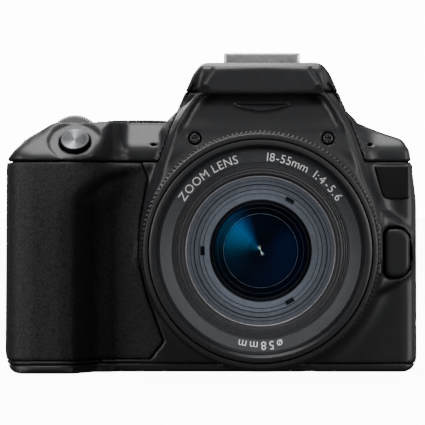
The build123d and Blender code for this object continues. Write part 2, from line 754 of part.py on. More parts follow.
def make_lens_barrel():
    barrel = lathe([
        (22.5, -29.0), (32.3, -29.0), (33.0, -31.0), (33.0, -49.6), (GUIDE_R[1], -49.6),
        (GUIDE_R[1], -79.4), (GUIDE_R[0], -79.4), (GUIDE_R[0], -31.4), (22.5, -31.4),
    ])
    panel = block((28, 34.6), (-46.5, -31.5), (LENS_Z - 12, LENS_Z + 12))
    panel &= rod_y(0, LENS_Z, 34.8, -60, -20) - rod_y(0, LENS_Z, 31.0, -61, -19)
    barrel += panel
    for z in SWITCH_Z.values():
        barrel -= block((33.2, 40), (-43.0, -35.0), (z - 2.0, z + 2.0))
    return barrel


def make_switch(z):
    return block((33.3, 35.3), (-42.8, -38.4), (z - 1.7, z + 1.7))


def make_zoom_ring():
    return lathe([
        (31.1, ZOOM_Y[1]), (32.7, ZOOM_Y[1]), (ZOOM_R, ZOOM_Y[1] - 0.6), (ZOOM_R, ZOOM_Y[0] + 0.6),
        (32.7, ZOOM_Y[0]), (31.1, ZOOM_Y[0]),
    ])


def make_inner_barrel():
    tube = ring(INNER_R[1], INNER_R[0], -80.3, -45.4)
    return tube + ring(32.0, INNER_R[0], -81.0, -80.3)


def make_focus_ring():
    return lathe([
        (FOCUS_R[0], FOCUS_Y[1]), (FOCUS_R[1], FOCUS_Y[1]), (FOCUS_R[1], FOCUS_Y[0] + 0.4),
        (FOCUS_R[1] - 0.4, FOCUS_Y[0]), (FOCUS_R[0], FOCUS_Y[0]),
    ])


def make_front_bezel():
    return lathe([
        (28.2, -81.0), (30.6, -81.0), (30.6, -87.4), (30.2, FRONT_RIM_Y), (28.9, FRONT_RIM_Y),
        (28.6, -87.5), (28.6, -84.5), (27.7, -84.5), (24.4, -83.9), (24.4, -83.4),
        (23.5, -83.2), (23.5, -82.8), (22.4, -82.5), (22.4, -82.0), (21.2, -81.6),
        (20.8, -80.6), (20.8, -78.6), (28.2, -78.6),
    ])


def make_front_element():
    """The front glass, domed by its curvature over its radius."""
    sag = 2.2
    profile = make_face(
        [
            *ThreePointArc((0, -82.4), (GLASS_R / 2, -82.4 + sag / 4), (GLASS_R, -82.4 + sag)).edges(),
            *Polyline((GLASS_R, -82.4 + sag), (GLASS_R, -77.4), (0, -77.4), (0, -82.4)).edges(),
        ]
    )
    return Pos(0, 0, LENS_Z) * revolve(profile, Axis.Y)


def make_rear_element():
    cell = ring(21.6, 15.0, -43.2, -27.5)
    return cell + rod_y(0, LENS_Z, 15.2, -41.0, -30.0)


def make_iris():
    return ring(27.6, 6.0, -45.0, -43.4)


def build():
    parts = make_covers()
    parts["flash_window"] = make_flash_window()
    parts["prism_panel"] = make_prism_panel()
    parts["badge_plate"] = make_badge_plate()
    parts["thumb_rubber"] = make_thumb_rubber()
    parts["strap_lugs"] = make_strap_lugs()
    parts["hot_shoe"] = make_hot_shoe()
    parts["cover_screws"] = make_cover_screws()
    parts["eyecup"] = make_eyecup()
    parts["eyepiece_lens"] = make_eyepiece_lens()
    parts["diopter_dial"] = make_diopter_dial()
    parts["shutter_button"] = make_shutter_button()
    parts["main_dial"] = make_main_dial()
    parts["mode_dial"] = make_mode_dial()
    parts["power_lever"] = make_power_lever()
    for name, place in TOP_BUTTONS.items():
        parts[name] = make_top_button(*place)
    for name, place in REAR_BUTTONS.items():
        parts[name] = make_rear_button(*place)
    parts["direction_pad"] = make_direction_pad()
    parts["pad_gimbal"] = make_pad_gimbal()
    parts["set_button"] = make_set_button()
    parts["screen_panel"] = make_screen_panel()
    parts["screen_glass"] = make_screen_glass()
    parts["screen_arm"] = make_screen_arm()
    parts["battery_door"] = make_battery_door()
    parts["battery_latch"] = make_battery_latch()
    parts["tripod_socket"] = make_tripod_socket()
    parts["mirror_box"] = make_mirror_box()
    parts["reflex_mirror"] = make_reflex_mirror()
    parts["sub_mirror"] = make_sub_mirror()
    parts["focusing_screen"] = make_focusing_screen()
    parts["pentamirror"] = make_pentamirror()
    parts["shutter_unit"] = make_shutter_unit()
    parts["image_sensor"] = make_image_sensor()
    parts["main_board"] = make_main_board()
    parts["battery"] = make_battery()
    parts["memory_card"] = make_memory_card()
    parts["mount_ring"] = make_mount_ring()
    parts["mount_screws"] = make_mount_screws()
    parts["lock_pin"] = make_lock_pin()
    parts["lens_release_button"] = make_release_button()
    parts["lens_mount_plate"] = make_mount_plate()
    parts["lens_barrel"] = make_lens_barrel()
    for name, z in SWITCH_Z.items():
        parts[name] = make_switch(z)
    parts["zoom_ring"] = make_zoom_ring()
    parts["inner_barrel"] = make_inner_barrel()
    parts["focus_ring"] = make_focus_ring()
    parts["front_bezel"] = make_front_bezel()
    parts["front_element"] = make_front_element()
    parts["rear_element"] = make_rear_element()
    parts["aperture_iris"] = make_iris()
    return parts


os.makedirs("parts", exist_ok=True)
for name, shape in build().items():
    if isinstance(shape, list):
        shape = Compound(children=shape)
    export_step(shape, f"parts/{name}.step")
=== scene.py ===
import json
import math

import bpy
import numpy as np
from mathutils import Matrix, Vector


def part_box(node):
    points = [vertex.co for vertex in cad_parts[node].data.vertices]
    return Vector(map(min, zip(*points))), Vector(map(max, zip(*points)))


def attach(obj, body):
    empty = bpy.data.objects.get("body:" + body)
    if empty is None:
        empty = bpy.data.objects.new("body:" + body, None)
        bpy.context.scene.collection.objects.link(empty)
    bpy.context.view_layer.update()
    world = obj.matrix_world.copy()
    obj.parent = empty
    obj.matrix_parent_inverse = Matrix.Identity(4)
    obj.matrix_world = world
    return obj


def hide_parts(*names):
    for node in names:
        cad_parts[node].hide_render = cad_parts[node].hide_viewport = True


# Looks of a digital reflex camera with a zoom lens, built round its CAD parts.
# Shapes are worked out in millimetres in the row frame and stored in metres.

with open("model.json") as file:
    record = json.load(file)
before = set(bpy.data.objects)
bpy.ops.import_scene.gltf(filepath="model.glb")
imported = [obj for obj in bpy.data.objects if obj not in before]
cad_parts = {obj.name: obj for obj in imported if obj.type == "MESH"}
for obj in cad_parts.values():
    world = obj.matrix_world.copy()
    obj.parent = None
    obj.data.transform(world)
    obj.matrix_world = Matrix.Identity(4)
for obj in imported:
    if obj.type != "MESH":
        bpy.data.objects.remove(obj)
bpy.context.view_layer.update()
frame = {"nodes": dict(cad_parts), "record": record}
MM = 0.001


def limits(node):
    """Lowest and highest corner of a CAD node, in millimetres."""
    low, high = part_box(node)
    return np.array(low) / MM, np.array(high) / MM


def middle(node):
    low, high = limits(node)
    return (low + high) / 2


ZOOM_LOW, ZOOM_HIGH = limits("zoom_ring")
LENS_Z = (ZOOM_LOW[2] + ZOOM_HIGH[2]) / 2
TOP_SEAM = limits("top_cover")[0][2]
BASE_SEAM = limits("bottom_cover")[1][2]
SIDE_SEAM = limits("rear_cover")[0][1]
GRIP_SEAM = limits("grip_shell")[1][0]
ROOF_Z = limits("top_cover")[1][2]
FRONT_Y = limits("badge_plate")[1][1]
GRIP_Y = limits("grip_rubber")[0][1]
REAR_Y = limits("thumb_rubber")[0][1]
LEFT_X = limits("grip_rubber")[0][0]
RIGHT_X = limits("front_cover")[1][0]
HOUSING_Y = FRONT_Y - 7.0
WALL = 2.4
SKIN = 0.9
SEAM = 0.06
EDGE = 0.28
DECK_Z = 73.4


# Finishes

MOULD_GRAIN = 4200.0


def new_material(name):
    material = bpy.data.materials.new(name)
    material.use_nodes = True
    return material, material.node_tree.nodes, material.node_tree.links


def set_inputs(node, values):
    for socket, value in values.items():
        node.inputs[socket].default_value = value


def add_node(nodes, kind, values):
    """A new node with some of its inputs set."""
    node = nodes.new(kind)
    set_inputs(node, values)
    return node


def set_stops(ramp, stops):
    """Gives a colour ramp its positions, then its colours."""
    elements = ramp.color_ramp.elements
    while len(elements) < len(stops):
        elements.new(0.5)
    for element, (position, _) in zip(elements, stops):
        element.position = position
    for element, (_, colour) in zip(elements, stops):
        element.color = list(colour) + [1]


def finish(name, colour, roughness, metallic=0.0, tint=0.12, grain=900.0, bump=0.0,
           coat=0.0, specular=0.5, rough_tint=0.06):
    """A finish whose colour and roughness vary with a fine noise.
    A bump, in millimetres, adds a moulded grain."""
    material, nodes, links = new_material(name)
    shader = nodes["Principled BSDF"]
    place = nodes.new("ShaderNodeTexCoord")
    noise = add_node(nodes, "ShaderNodeTexNoise", {"Scale": grain, "Detail": 3.0})
    links.new(place.outputs["Object"], noise.inputs["Vector"])
    ramp = nodes.new("ShaderNodeValToRGB")
    ramp.color_ramp.elements[0].position = 0.3
    ramp.color_ramp.elements[1].position = 0.7
    ramp.color_ramp.elements[0].color = [c * (1 - tint) for c in colour] + [1]
    ramp.color_ramp.elements[1].color = [min(c * (1 + tint), 1) for c in colour] + [1]
    links.new(noise.outputs["Fac"], ramp.inputs["Fac"])
    links.new(ramp.outputs["Color"], shader.inputs["Base Color"])
    spread = add_node(nodes, "ShaderNodeMapRange", {
        "To Min": roughness - rough_tint, "To Max": roughness + rough_tint,
    })
    links.new(noise.outputs["Fac"], spread.inputs["Value"])
    links.new(spread.outputs["Result"], shader.inputs["Roughness"])
    set_inputs(shader, {
        "Metallic": metallic, "Coat Weight": coat, "Coat Roughness": 0.08,
        "Specular IOR Level": specular,
    })
    if bump:
        fine = add_node(nodes, "ShaderNodeTexNoise", {"Scale": MOULD_GRAIN, "Detail": 2.0})
        links.new(place.outputs["Object"], fine.inputs["Vector"])
        relief = add_node(nodes, "ShaderNodeBump", {"Strength": 1.0, "Distance": bump * MM})
        links.new(fine.outputs["Fac"], relief.inputs["Height"])
        links.new(relief.outputs["Normal"], shader.inputs["Normal"])
    return material


def leather(name, colour, crease_shade, cell):
    """Rubber with a leather grain: domed cells with a bump, and fine dark creases between them that
    are painted shade in the colour.
    """
    material = finish(name, colour, 0.62, tint=0.1, grain=500.0, specular=0.42)
    nodes, links = material.node_tree.nodes, material.node_tree.links
    shader = nodes["Principled BSDF"]
    place = nodes["Texture Coordinate"]
    wander = add_node(nodes, "ShaderNodeTexNoise", {"Scale": 650.0})
    links.new(place.outputs["Object"], wander.inputs["Vector"])
    shift = nodes.new("ShaderNodeVectorMath")
    shift.operation = "SCALE"
    shift.inputs["Scale"].default_value = 1.5 * MM
    links.new(wander.outputs["Color"], shift.inputs[0])
    moved = nodes.new("ShaderNodeVectorMath")
    moved.operation = "ADD"
    links.new(place.outputs["Object"], moved.inputs[0])
    links.new(shift.outputs["Vector"], moved.inputs[1])
    cells = nodes.new("ShaderNodeTexVoronoi")
    cells.feature = "DISTANCE_TO_EDGE"
    cells.inputs["Scale"].default_value = 1 / (cell * MM)
    links.new(moved.outputs["Vector"], cells.inputs["Vector"])
    dome = nodes.new("ShaderNodeValToRGB")
    dome.color_ramp.interpolation = "EASE"
    dome.color_ramp.elements[0].color = (0, 0, 0, 1)
    dome.color_ramp.elements[1].color = (1, 1, 1, 1)
    dome.color_ramp.elements[1].position = 0.13
    links.new(cells.outputs["Distance"], dome.inputs["Fac"])
    # Painted shade: the creases between the cells take the darker crease colour.
    mix = add_node(nodes, "ShaderNodeMixRGB", {"Color1": list(crease_shade) + [1]})
    links.new(dome.outputs["Color"], mix.inputs["Fac"])
    links.new(nodes["Color Ramp"].outputs["Color"], mix.inputs["Color2"])
    links.new(mix.outputs["Color"], shader.inputs["Base Color"])
    relief = add_node(nodes, "ShaderNodeBump", {"Strength": 0.5, "Distance": 0.06 * MM})
    links.new(dome.outputs["Color"], relief.inputs["Height"])
    links.new(relief.outputs["Normal"], shader.inputs["Normal"])
    return material


def painted_glow(material, strength):
    """Makes a finish that lies deep behind glass emit its own colour: painted light, standing in
    for lamp light that the glass holds back.
    """
    nodes, links = material.node_tree.nodes, material.node_tree.links
    shader = nodes["Principled BSDF"]
    links.new(nodes["Color Ramp"].outputs["Color"], shader.inputs["Emission Color"])
    shader.inputs["Emission Strength"].default_value = strength


# Turns about the axis, and the share of the metal's colour there: the bright wedges are painted
# highlights
PAINTED_FAN = (
    (0.0, 0.3), (0.1, 0.6), (0.2, 2.0), (0.29, 0.5), (0.4, 0.25), (0.6, 0.35), (0.7, 0.9),
    (0.76, 1.6), (0.84, 0.4), (1.0, 0.3),
)


def turned_metal_with_painted_fan(name, colour, roughness):
    """Metal turned about the piece's own Z axis, so that its highlights fan out, with painted
    highlights as brighter and darker wedges of its colour about the axis.
    """
    material = finish(name, colour, roughness, metallic=1.0, tint=0.06)
    nodes, links = material.node_tree.nodes, material.node_tree.links
    shader = nodes["Principled BSDF"]
    shader.inputs["Anisotropic"].default_value = 0.85
    tangent = nodes.new("ShaderNodeTangent")
    tangent.direction_type = "RADIAL"
    tangent.axis = "Z"
    links.new(tangent.outputs["Tangent"], shader.inputs["Tangent"])
    # Painted highlights: the colour brightens and darkens by the turn about the axis.
    fan = nodes.new("ShaderNodeTexGradient")
    fan.gradient_type = "RADIAL"
    links.new(nodes["Texture Coordinate"].outputs["Object"], fan.inputs["Vector"])
    fan_highlights = nodes.new("ShaderNodeValToRGB")
    set_stops(fan_highlights, [(turn, [c * shade for c in colour]) for turn, shade in PAINTED_FAN])
    links.new(fan.outputs["Fac"], fan_highlights.inputs["Fac"])
    links.new(fan_highlights.outputs["Color"], shader.inputs["Base Color"])
    return material


def clear_glass(name, tint, coating):
    """Thin coated glass: mostly clear, with a tinted reflection that grows towards its edge."""
    material, nodes, links = new_material(name)
    nodes.remove(nodes["Principled BSDF"])
    out = nodes["Material Output"]
    place = nodes.new("ShaderNodeTexCoord")
    noise = add_node(nodes, "ShaderNodeTexNoise", {"Scale": 60.0})
    links.new(place.outputs["Object"], noise.inputs["Vector"])
    ramp = nodes.new("ShaderNodeValToRGB")
    ramp.color_ramp.elements[0].color = [c * 0.9 for c in coating] + [1]
    ramp.color_ramp.elements[1].color = list(coating) + [1]
    links.new(noise.outputs["Fac"], ramp.inputs["Fac"])
    gloss = add_node(nodes, "ShaderNodeBsdfGlossy", {"Roughness": 0.0})
    links.new(ramp.outputs["Color"], gloss.inputs["Color"])
    clear = add_node(nodes, "ShaderNodeBsdfTransparent", {"Color": list(tint) + [1]})
    edge = add_node(nodes, "ShaderNodeFresnel", {"IOR": 1.38})
    mix = nodes.new("ShaderNodeMixShader")
    links.new(edge.outputs["Fac"], mix.inputs["Fac"])
    links.new(clear.outputs["BSDF"], mix.inputs[1])
    links.new(gloss.outputs["BSDF"], mix.inputs[2])
    links.new(mix.outputs["Shader"], out.inputs["Surface"])
    return material


FINISHES = {
    "body_plastic": finish("body_plastic", (0.0155, 0.0161, 0.0178), 0.46, bump=0.01),
    "leather_rubber": leather(
        # The second colour is painted shade for the leather's creases.
        "leather_rubber", (0.025, 0.0256, 0.0278), (0.007, 0.007, 0.0075), 1.15),
    "gloss_black": finish("gloss_black", (0.009, 0.009, 0.01), 0.4, bump=0.001, specular=0.35),
    "soft_rubber": finish("soft_rubber", (0.016, 0.016, 0.017), 0.75, bump=0.02),
    "lens_black": finish("lens_black", (0.014, 0.0145, 0.016), 0.42, bump=0.008),
    "bezel_grey": finish("bezel_grey", (0.05, 0.052, 0.058), 0.5, bump=0.006),
    "shoe_metal": finish("shoe_metal", (0.62, 0.62, 0.63), 0.4, metallic=1.0, bump=0.001),
    "mount_metal": finish("mount_metal", (0.6, 0.6, 0.61), 0.28, metallic=1.0),
    "screw_steel": finish("screw_steel", (0.085, 0.085, 0.09), 0.4, metallic=1.0),
    "button_metal": turned_metal_with_painted_fan("button_metal", (0.09, 0.092, 0.098), 0.34),
    "coated_glass": clear_glass("coated_glass", (0.93, 0.96, 1.0), (0.16, 0.2, 0.36)),
    "screen_gloss": finish("screen_gloss", (0.006, 0.006, 0.008), 0.1, coat=1.0, rough_tint=0.02),
    "mirror": finish("mirror", (0.85, 0.86, 0.88), 0.06, metallic=1.0, rough_tint=0.02),
    "brass": finish("brass", (0.6, 0.45, 0.2), 0.35, metallic=1.0),
    "board_green": finish("board_green", (0.02, 0.12, 0.045), 0.4, bump=0.01),
    "battery_grey": finish("battery_grey", (0.09, 0.09, 0.1), 0.5, bump=0.01),
    "sensor_glass": finish("sensor_glass", (0.03, 0.06, 0.05), 0.12, coat=1.0),
    "frame_black": finish("frame_black", (0.012, 0.012, 0.013), 0.6, bump=0.01),
    "window_white": finish("window_white", (0.7, 0.71, 0.72), 0.25, tint=0.04),
}
PAINT = finish("white_paint", (0.9, 0.9, 0.9), 0.5, tint=0.04)
KNURL = finish("knurl", (0.016, 0.0165, 0.018), 0.5, bump=0.004, specular=0.3)
BAFFLE = finish("baffle", (0.045, 0.046, 0.049), 0.45, bump=0.004)

NODE_SLOTS = {}
for subpart in frame["record"]["subparts"]:
    NODE_SLOTS[subpart.get("node") or subpart.get("name")] = (
        subpart.get("material_slot") or subpart.get("material")
    )
for node, obj in frame["nodes"].items():
    obj.data.materials.clear()
    obj.data.materials.append(FINISHES[NODE_SLOTS[node]])


# Pieces

def add_object(name, data):
    obj = bpy.data.objects.new(name, data)
    bpy.context.scene.collection.objects.link(obj)
    return obj


def piece(name, vertices, faces, material, body, nodes=(), place=None, sharp=None):
    """A mesh given in millimetres, riding on a CAD body and standing for the named nodes."""
    mesh = bpy.data.meshes.new(name)
    if not isinstance(faces, list):
        faces = faces.tolist()
    mesh.from_pydata((np.asarray(vertices, float) * MM).tolist(), [], faces)
    mesh.polygons.foreach_set("use_smooth", [True] * len(mesh.polygons))
    if sharp:
        mesh.set_sharp_from_angle(angle=math.radians(sharp))
    mesh.materials.append(material)
    obj = add_object(name, mesh)
    if place is not None:
        obj.matrix_world = place
    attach(obj, body)
    for node in nodes:
        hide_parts(node)
    return obj


def placed(origin, forward, up=(0, 0, 1)):
    """Local axes with Z along forward and Y nearest to up, at a point in millimetres."""
    z = Vector(forward).normalized()
    x = Vector(up).cross(z).normalized()
    y = z.cross(x)
    turn = Matrix((x, y, z)).transposed().to_4x4()
    return Matrix.Translation(Vector(origin) * MM) @ turn


LENS = placed((0, 0, LENS_Z), (0, -1, 0))


TOOTH_STEPS = 6
TOOTH_LAND = 0.5


def turned(name, profile, material, body, place, nodes=(), segments=192,
           teeth=0, depth=0.0, above=0.0):
    """A closed profile of radius and height turned about local Z.
    Points beyond the radius `above` are cut by teeth of the given depth."""
    area = sum(a[0] * b[1] - b[0] * a[1] for a, b in zip(profile, profile[1:] + profile[:1]))
    if area < 0:
        profile = profile[::-1]
    if teeth:
        segments = teeth * TOOTH_STEPS
    turns = np.arange(segments) * 2 * math.pi / segments
    wave = np.zeros(segments)
    if teeth:
        phase = (np.arange(segments) % TOOTH_STEPS) / TOOTH_STEPS
        wave = np.clip(np.abs(phase - 0.5) * 4 - TOOTH_LAND, 0, 1)
    rows = []
    for radius, height in profile:
        r = np.full(segments, radius) - (depth * wave if radius > above else 0)
        rows.append(np.stack([r * np.cos(turns), r * np.sin(turns), np.full(segments, height)], 1))
    vertices = np.concatenate(rows)
    count = len(profile)
    faces = []
    steps = np.arange(segments)
    after = (steps + 1) % segments
    for i in range(count):
        j = (i + 1) % count
        faces.append(np.stack([i * segments + steps, i * segments + after,
                               j * segments + after, j * segments + steps], 1))
    faces = np.concatenate(faces)
    return piece(name, vertices, faces, material, body, nodes, place, 30)


def arc_block(name, inner, outer, middle_angle, half_angle, low, high, material, body):
    """A short curved bar about the lens axis, from seven sections."""
    angles = [math.radians(middle_angle + half_angle * (2 * i / 6 - 1)) for i in range(7)]
    section = ((inner, low), (outer, low), (outer, high), (inner, high))
    vertices = [(r * math.cos(a), r * math.sin(a), h) for a in angles for r, h in section]
    faces = [(0, 1, 2, 3), (27, 26, 25, 24)]
    for i in range(0, 24, 4):
        for j in range(4):
            k = (j + 1) % 4
            faces.append((i + j, i + j + 4, i + k + 4, i + k))
    return piece(name, vertices, faces, material, body, place=LENS, sharp=30)


# Forms as signed distance in millimetres, negative inside

def smax(a, b, k):
    """The larger of two fields, with the edge between them rounded over k."""
    h = np.maximum(k - np.abs(a - b), 0)
    return np.maximum(a, b) + h * h / (4 * np.maximum(k, 1e-6))


def smin(a, b, k):
    return -smax(-a, -b, k)


def cut(a, b, k=0.35):
    return smax(a, -b, k)


def corners(points):
    """An outline with its corners rounded by the radius given as each point's third value."""
    result = []
    for i, point in enumerate(points):
        here = np.array(point[:2], float)
        before = np.array(points[i - 1][:2], float) - here
        after = np.array(points[(i + 1) % len(points)][:2], float) - here
        radius = point[2] if len(point) > 2 else 0
        if radius <= 0:
            result.append(here)
            continue
        a, b = np.linalg.norm(before), np.linalg.norm(after)
        before, after = before / a, after / b
        half = math.acos(np.clip(before @ after, -1, 1)) / 2
        if half > 1.55:
            result.append(here)
            continue
        back = min(radius / math.tan(half), 0.49 * a, 0.49 * b)
        radius = back * math.tan(half)
        inward = (before + after) / np.linalg.norm(before + after)
        centre = here + inward * radius / math.sin(half)
        start, end = here + before * back - centre, here + after * back - centre
        first = math.atan2(start[1], start[0])
        sweep = (math.atan2(end[1], end[0]) - first + math.pi) % (2 * math.pi) - math.pi
        for step in range(6):
            angle = first + sweep * step / 5
            result.append(centre + radius * np.array((math.cos(angle), math.sin(angle))))
    return np.array(result)


def polygon(u, v, points):
    """Signed distance to an outline, on two crossing axes."""
    outline = corners(points)
    nearest = np.full(np.broadcast(u, v).shape, 1e9, np.float32)
    inside = np.zeros(nearest.shape, bool)
    for (ax, ay), (bx, by) in zip(outline, np.roll(outline, -1, 0)):
        ex, ey = bx - ax, by - ay
        if ex * ex + ey * ey < 1e-9:
            continue
        t = np.clip(((u - ax) * ex + (v - ay) * ey) / (ex * ex + ey * ey), 0, 1)
        nearest = np.minimum(nearest, (u - ax - t * ex) ** 2 + (v - ay - t * ey) ** 2)
        if ey:
            between = (v >= min(ay, by)) & (v < max(ay, by))
            inside ^= between & (u < ax + (v - ay) * ex / ey)
    return np.where(inside, -1, 1) * np.sqrt(nearest)


def disc(u, v, centre, radius):
    return np.hypot(u - centre[0], v - centre[1]) - radius


def span(w, low, high):
    return np.maximum(low - w, w - high)


def solid(*fields):
    """What is inside all of the fields."""
    result = fields[0]
    for field in fields[1:]:
        result = np.maximum(result, field)
    return result


def rounded(u, v, low, high, radius):
    """A rounded rectangle between two corners."""
    a = span(u, low[0] + radius, high[0] - radius)
    b = span(v, low[1] + radius, high[1] - radius)
    return np.hypot(np.maximum(a, 0), np.maximum(b, 0)) + np.minimum(np.maximum(a, b), 0) - radius


class Grid:
    """Sample points for the forms, and the surface round a form."""

    def __init__(self, low, high, step):
        self.low, self.step = np.array(low, float), step
        axes = [a + step * np.arange(int((b - a) / step) + 2) for a, b in zip(low, high)]
        self.x = axes[0][:, None, None].astype(np.float32)
        self.y = axes[1][None, :, None].astype(np.float32)
        self.z = axes[2][None, None, :].astype(np.float32)

    def surface(self, field):
        """Vertices and quads of the closed surface round the inside of a form."""
        shape = np.broadcast(self.x, self.y, self.z).shape
        field = np.broadcast_to(field, shape)
        inside = field < 0
        ends = [(i, j, k) for i in (0, 1) for j in (0, 1) for k in (0, 1)]

        def part(values, end):
            return values[tuple(slice(e, e + n - 1) for e, n in zip(end, shape))]

        count = np.zeros([n - 1 for n in shape], np.uint8)
        for end in ends:
            count += part(inside, end)
        mixed = (count > 0) & (count < 8)
        total = int(mixed.sum())
        number = np.full(mixed.shape, -1, np.int32)
        number[mixed] = np.arange(total)
        values = [part(field, end)[mixed] for end in ends]
        offset = np.zeros((total, 3))
        crossings = np.zeros(total)
        for a, end in enumerate(ends):
            for axis in range(3):
                if end[axis]:
                    continue
                start, stop = values[a], values[a + (4, 2, 1)[axis]]
                crosses = (start < 0) != (stop < 0)
                share = start / np.where(crosses, start - stop, 1)
                point = np.array(end, float) + share[:, None] * np.eye(3)[axis]
                offset += np.where(crosses[:, None], point, 0)
                crossings += crosses
        vertices = self.low + (np.argwhere(mixed) + offset / crossings[:, None]) * self.step
        quads = []
        for axis in range(3):
            order = [axis, (axis + 1) % 3, (axis + 2) % 3]
            body, ids = inside.transpose(order), number.transpose(order)
            leaves = body[:-1] & ~body[1:]
            enters = ~body[:-1] & body[1:]
            for change, turn in ((leaves, 1), (enters, -1)):
                i, j, k = np.nonzero(change[:, 1:-1, 1:-1])
                j, k = j + 1, k + 1
                around = [ids[i, j - 1, k - 1], ids[i, j, k - 1], ids[i, j, k], ids[i, j - 1, k]]
                quads.append(np.stack(around[::turn], 1))
        return vertices, np.concatenate(quads)


def moulded(name, grid, field, material, body, nodes):
    vertices, quads = grid.surface(field)
    return piece(name, vertices, quads, material, body, nodes)


# The body's outer form

BODY_FRONT = [
    (LEFT_X, 0, 6), (RIGHT_X, 0, 5), (46.0, 50, 20), (43.6, 65.2, 3), (41.5, 68.6, 3),
    (27.5, DECK_Z, 6), (-60.5, DECK_Z, 6), (-67.8, 69.3, 4), (-75.2, 62.4, 5),
]
BODY_SIDE = [
    (FRONT_Y, 0, 1.2), (REAR_Y, 0, 2.8), (REAR_Y, 66, 5), (25, DECK_Z, 4),
    (-8, DECK_Z, 4), (FRONT_Y, 65.5, 4),
]
BODY_PLAN = [
    (LEFT_X, FRONT_Y, 3), (RIGHT_X, FRONT_Y, 5), (RIGHT_X, REAR_Y, 4), (LEFT_X, REAR_Y, 8),
]
HUMP_FRONT = [
    (-29.8, 63.5, 0), (29.8, 63.5, 0), (27.6, 71.5, 0), (20.3, 87.2, 5), (17.4, ROOF_Z, 3),
    (-17.4, ROOF_Z, 3), (-20.3, 87.2, 5), (-27.6, 71.5, 0),
]
HUMP_SIDE = [
    (-19, 63.5, 0), (33, 63.5, 2.6), (33, 85.2, 3), (29, 89.6, 3), (24.8, ROOF_Z, 3),
    (-8, ROOF_Z, 12), (-23.2, 89.6, 2.6), (-24.4, 81.5, 2.6), (-19, 77.6, 0),
]
HUMP_PLAN = [
    (-17.6, -24.4, 3), (17.6, -24.4, 3), (24, -14, 6), (29.8, -5, 6), (29.8, 26, 4),
    (24.5, 33, 4), (-24.5, 33, 4), (-29.8, 26, 4), (-29.8, -5, 6), (-24, -14, 6),
]
HOUSING = [
    (-34.4, 33), (34.4, 33), (32, 49.7), (29.7, 56), (28, 62), (25.5, 69.3), (23.8, 73.4),
    (22, 77), (19.3, 81), (16.7, 85.5), (14.2, 89.6), (-14.2, 89.6), (-16.7, 85.5), (-19.3, 81),
    (-22, 77), (-23.8, 73.4), (-25.5, 69.3), (-28, 62), (-29.7, 56), (-32, 49.7),
]
BOSS_R = 34.6
BROW_HOLLOW = [
    (-32, 62.0), (-24, 67.0, 10), (-21.8, 74.0, 12), (-20.0, 78.6, 5), (-18.0, 81.5),
    (-32, 81.5),
]
BROW_SIDES = [
    (-27.6, 60), (27.6, 60), (24.4, 69.5), (22.7, 73.4), (20.8, 77), (18.2, 81), (17.4, 83),
    (-17.4, 83), (-18.2, 81), (-20.8, 77), (-22.7, 73.4), (-24.4, 69.5),
]
GRIP_PLAN = [
    (LEFT_X, 12, 0), (LEFT_X, -20, 10), (-72.6, -29.2, 6), (-66.5, GRIP_Y, 5),
    (-58.5, GRIP_Y, 5), (-54.2, -29.6, 3.5), (-51.6, -24.5, 0), (-48.6, -18.2, 4),
    (-44, -16.9, 0), (-44, 12, 0),
]
LEDGE_PLAN = [
    (LEFT_X, 12, 0), (LEFT_X, -20, 10), (-72.6, -29.2, 6), (-66.5, GRIP_Y, 5),
    (-58, GRIP_Y, 8), (-49.5, -27.2, 6), (-43.5, -20.5, 6), (-36, FRONT_Y, 4),
    (-32, -16.5, 0), (-32, 12, 0),
]
PLATEAU_PLAN = [
    (LEFT_X, 12, 0), (LEFT_X, -20, 10), (-72.6, -29.2, 6), (-66.5, GRIP_Y, 5),
    (-57, GRIP_Y, 6), (-49.6, -29.4, 4), (-46.6, -25.5, 3), (-43.8, -19.5, 4),
    (-41, -16.5, 0), (-41, 12, 0),
]
LEDGE_FRONT = [
    (-80, 46, 0), (-57, 49, 0), (-46, 56.8, 6), (-31, 60.5, 0), (-31, 80, 0), (-80, 80, 0),
]
GRIP_SIDE = [
    (GRIP_Y, 0, 1.6), (12.5, 0, 0), (12.5, DECK_Z, 0), (-20.6, DECK_Z, 2.6),
    (-30.7, 63.3, 0), (GRIP_Y, TOP_SEAM, 0),
]
LEATHER = [
    (-80, 3.7), (-32.6, 3.7), (-28.5, 9), (-33.5, 22.5), (-36, 33), (-35.6, 44),
    (-33.2, 57), (-35.3, TOP_SEAM), (-80, TOP_SEAM),
]

step = 0.55
grid = Grid((LEFT_X - 2, GRIP_Y - 2, -2), (RIGHT_X + 2, 35, ROOF_Z + 2), step)
X, Y, Z = grid.x, grid.y, grid.z

front_form = polygon(X, Z, BODY_FRONT)
flat = np.clip(np.minimum(Z, DECK_Z - Z) / 3, 0.05, 1)
slab = smax(front_form, polygon(Y, Z, BODY_SIDE), 1.6 * flat)
slab = smax(slab, polygon(X, Y, BODY_PLAN), 2.4)
roof_flat = np.clip((ROOF_Z - Z) / 3, 0.05, 1)
hump = smax(polygon(X, Z, HUMP_FRONT), polygon(Y, Z, HUMP_SIDE), 2.4 * roof_flat)
hump = smax(hump, polygon(X, Y, HUMP_PLAN), 2.4)
growth = np.clip((Y - HOUSING_Y) / 3, 0, 4) * np.clip((82 - Z) / 8, 0, 1)
face = smax(HOUSING_Y - Y, Y + 9, 0.1)
housing = smax(polygon(X, Z, HOUSING) - growth, face, 1.4)
boss = smax(smax(disc(X, Z, (0, LENS_Z), BOSS_R) - np.minimum(growth, 1.0), face, 1.4), -Z, 1.0)
housing = smin(housing, boss, 2.0)
column = polygon(X, Y, GRIP_PLAN)
rise = np.clip((Z - 60.5) / 3.0, 0, 1)
ledge_plan = polygon(X, Y, LEDGE_PLAN) * (1 - rise) + polygon(X, Y, PLATEAU_PLAN) * rise
ledge = smax(ledge_plan, polygon(X, Z, LEDGE_FRONT), 3.0)
grip = smin(column, ledge, 3.0 * np.clip((X + 60) / 8, 0.02, 1))
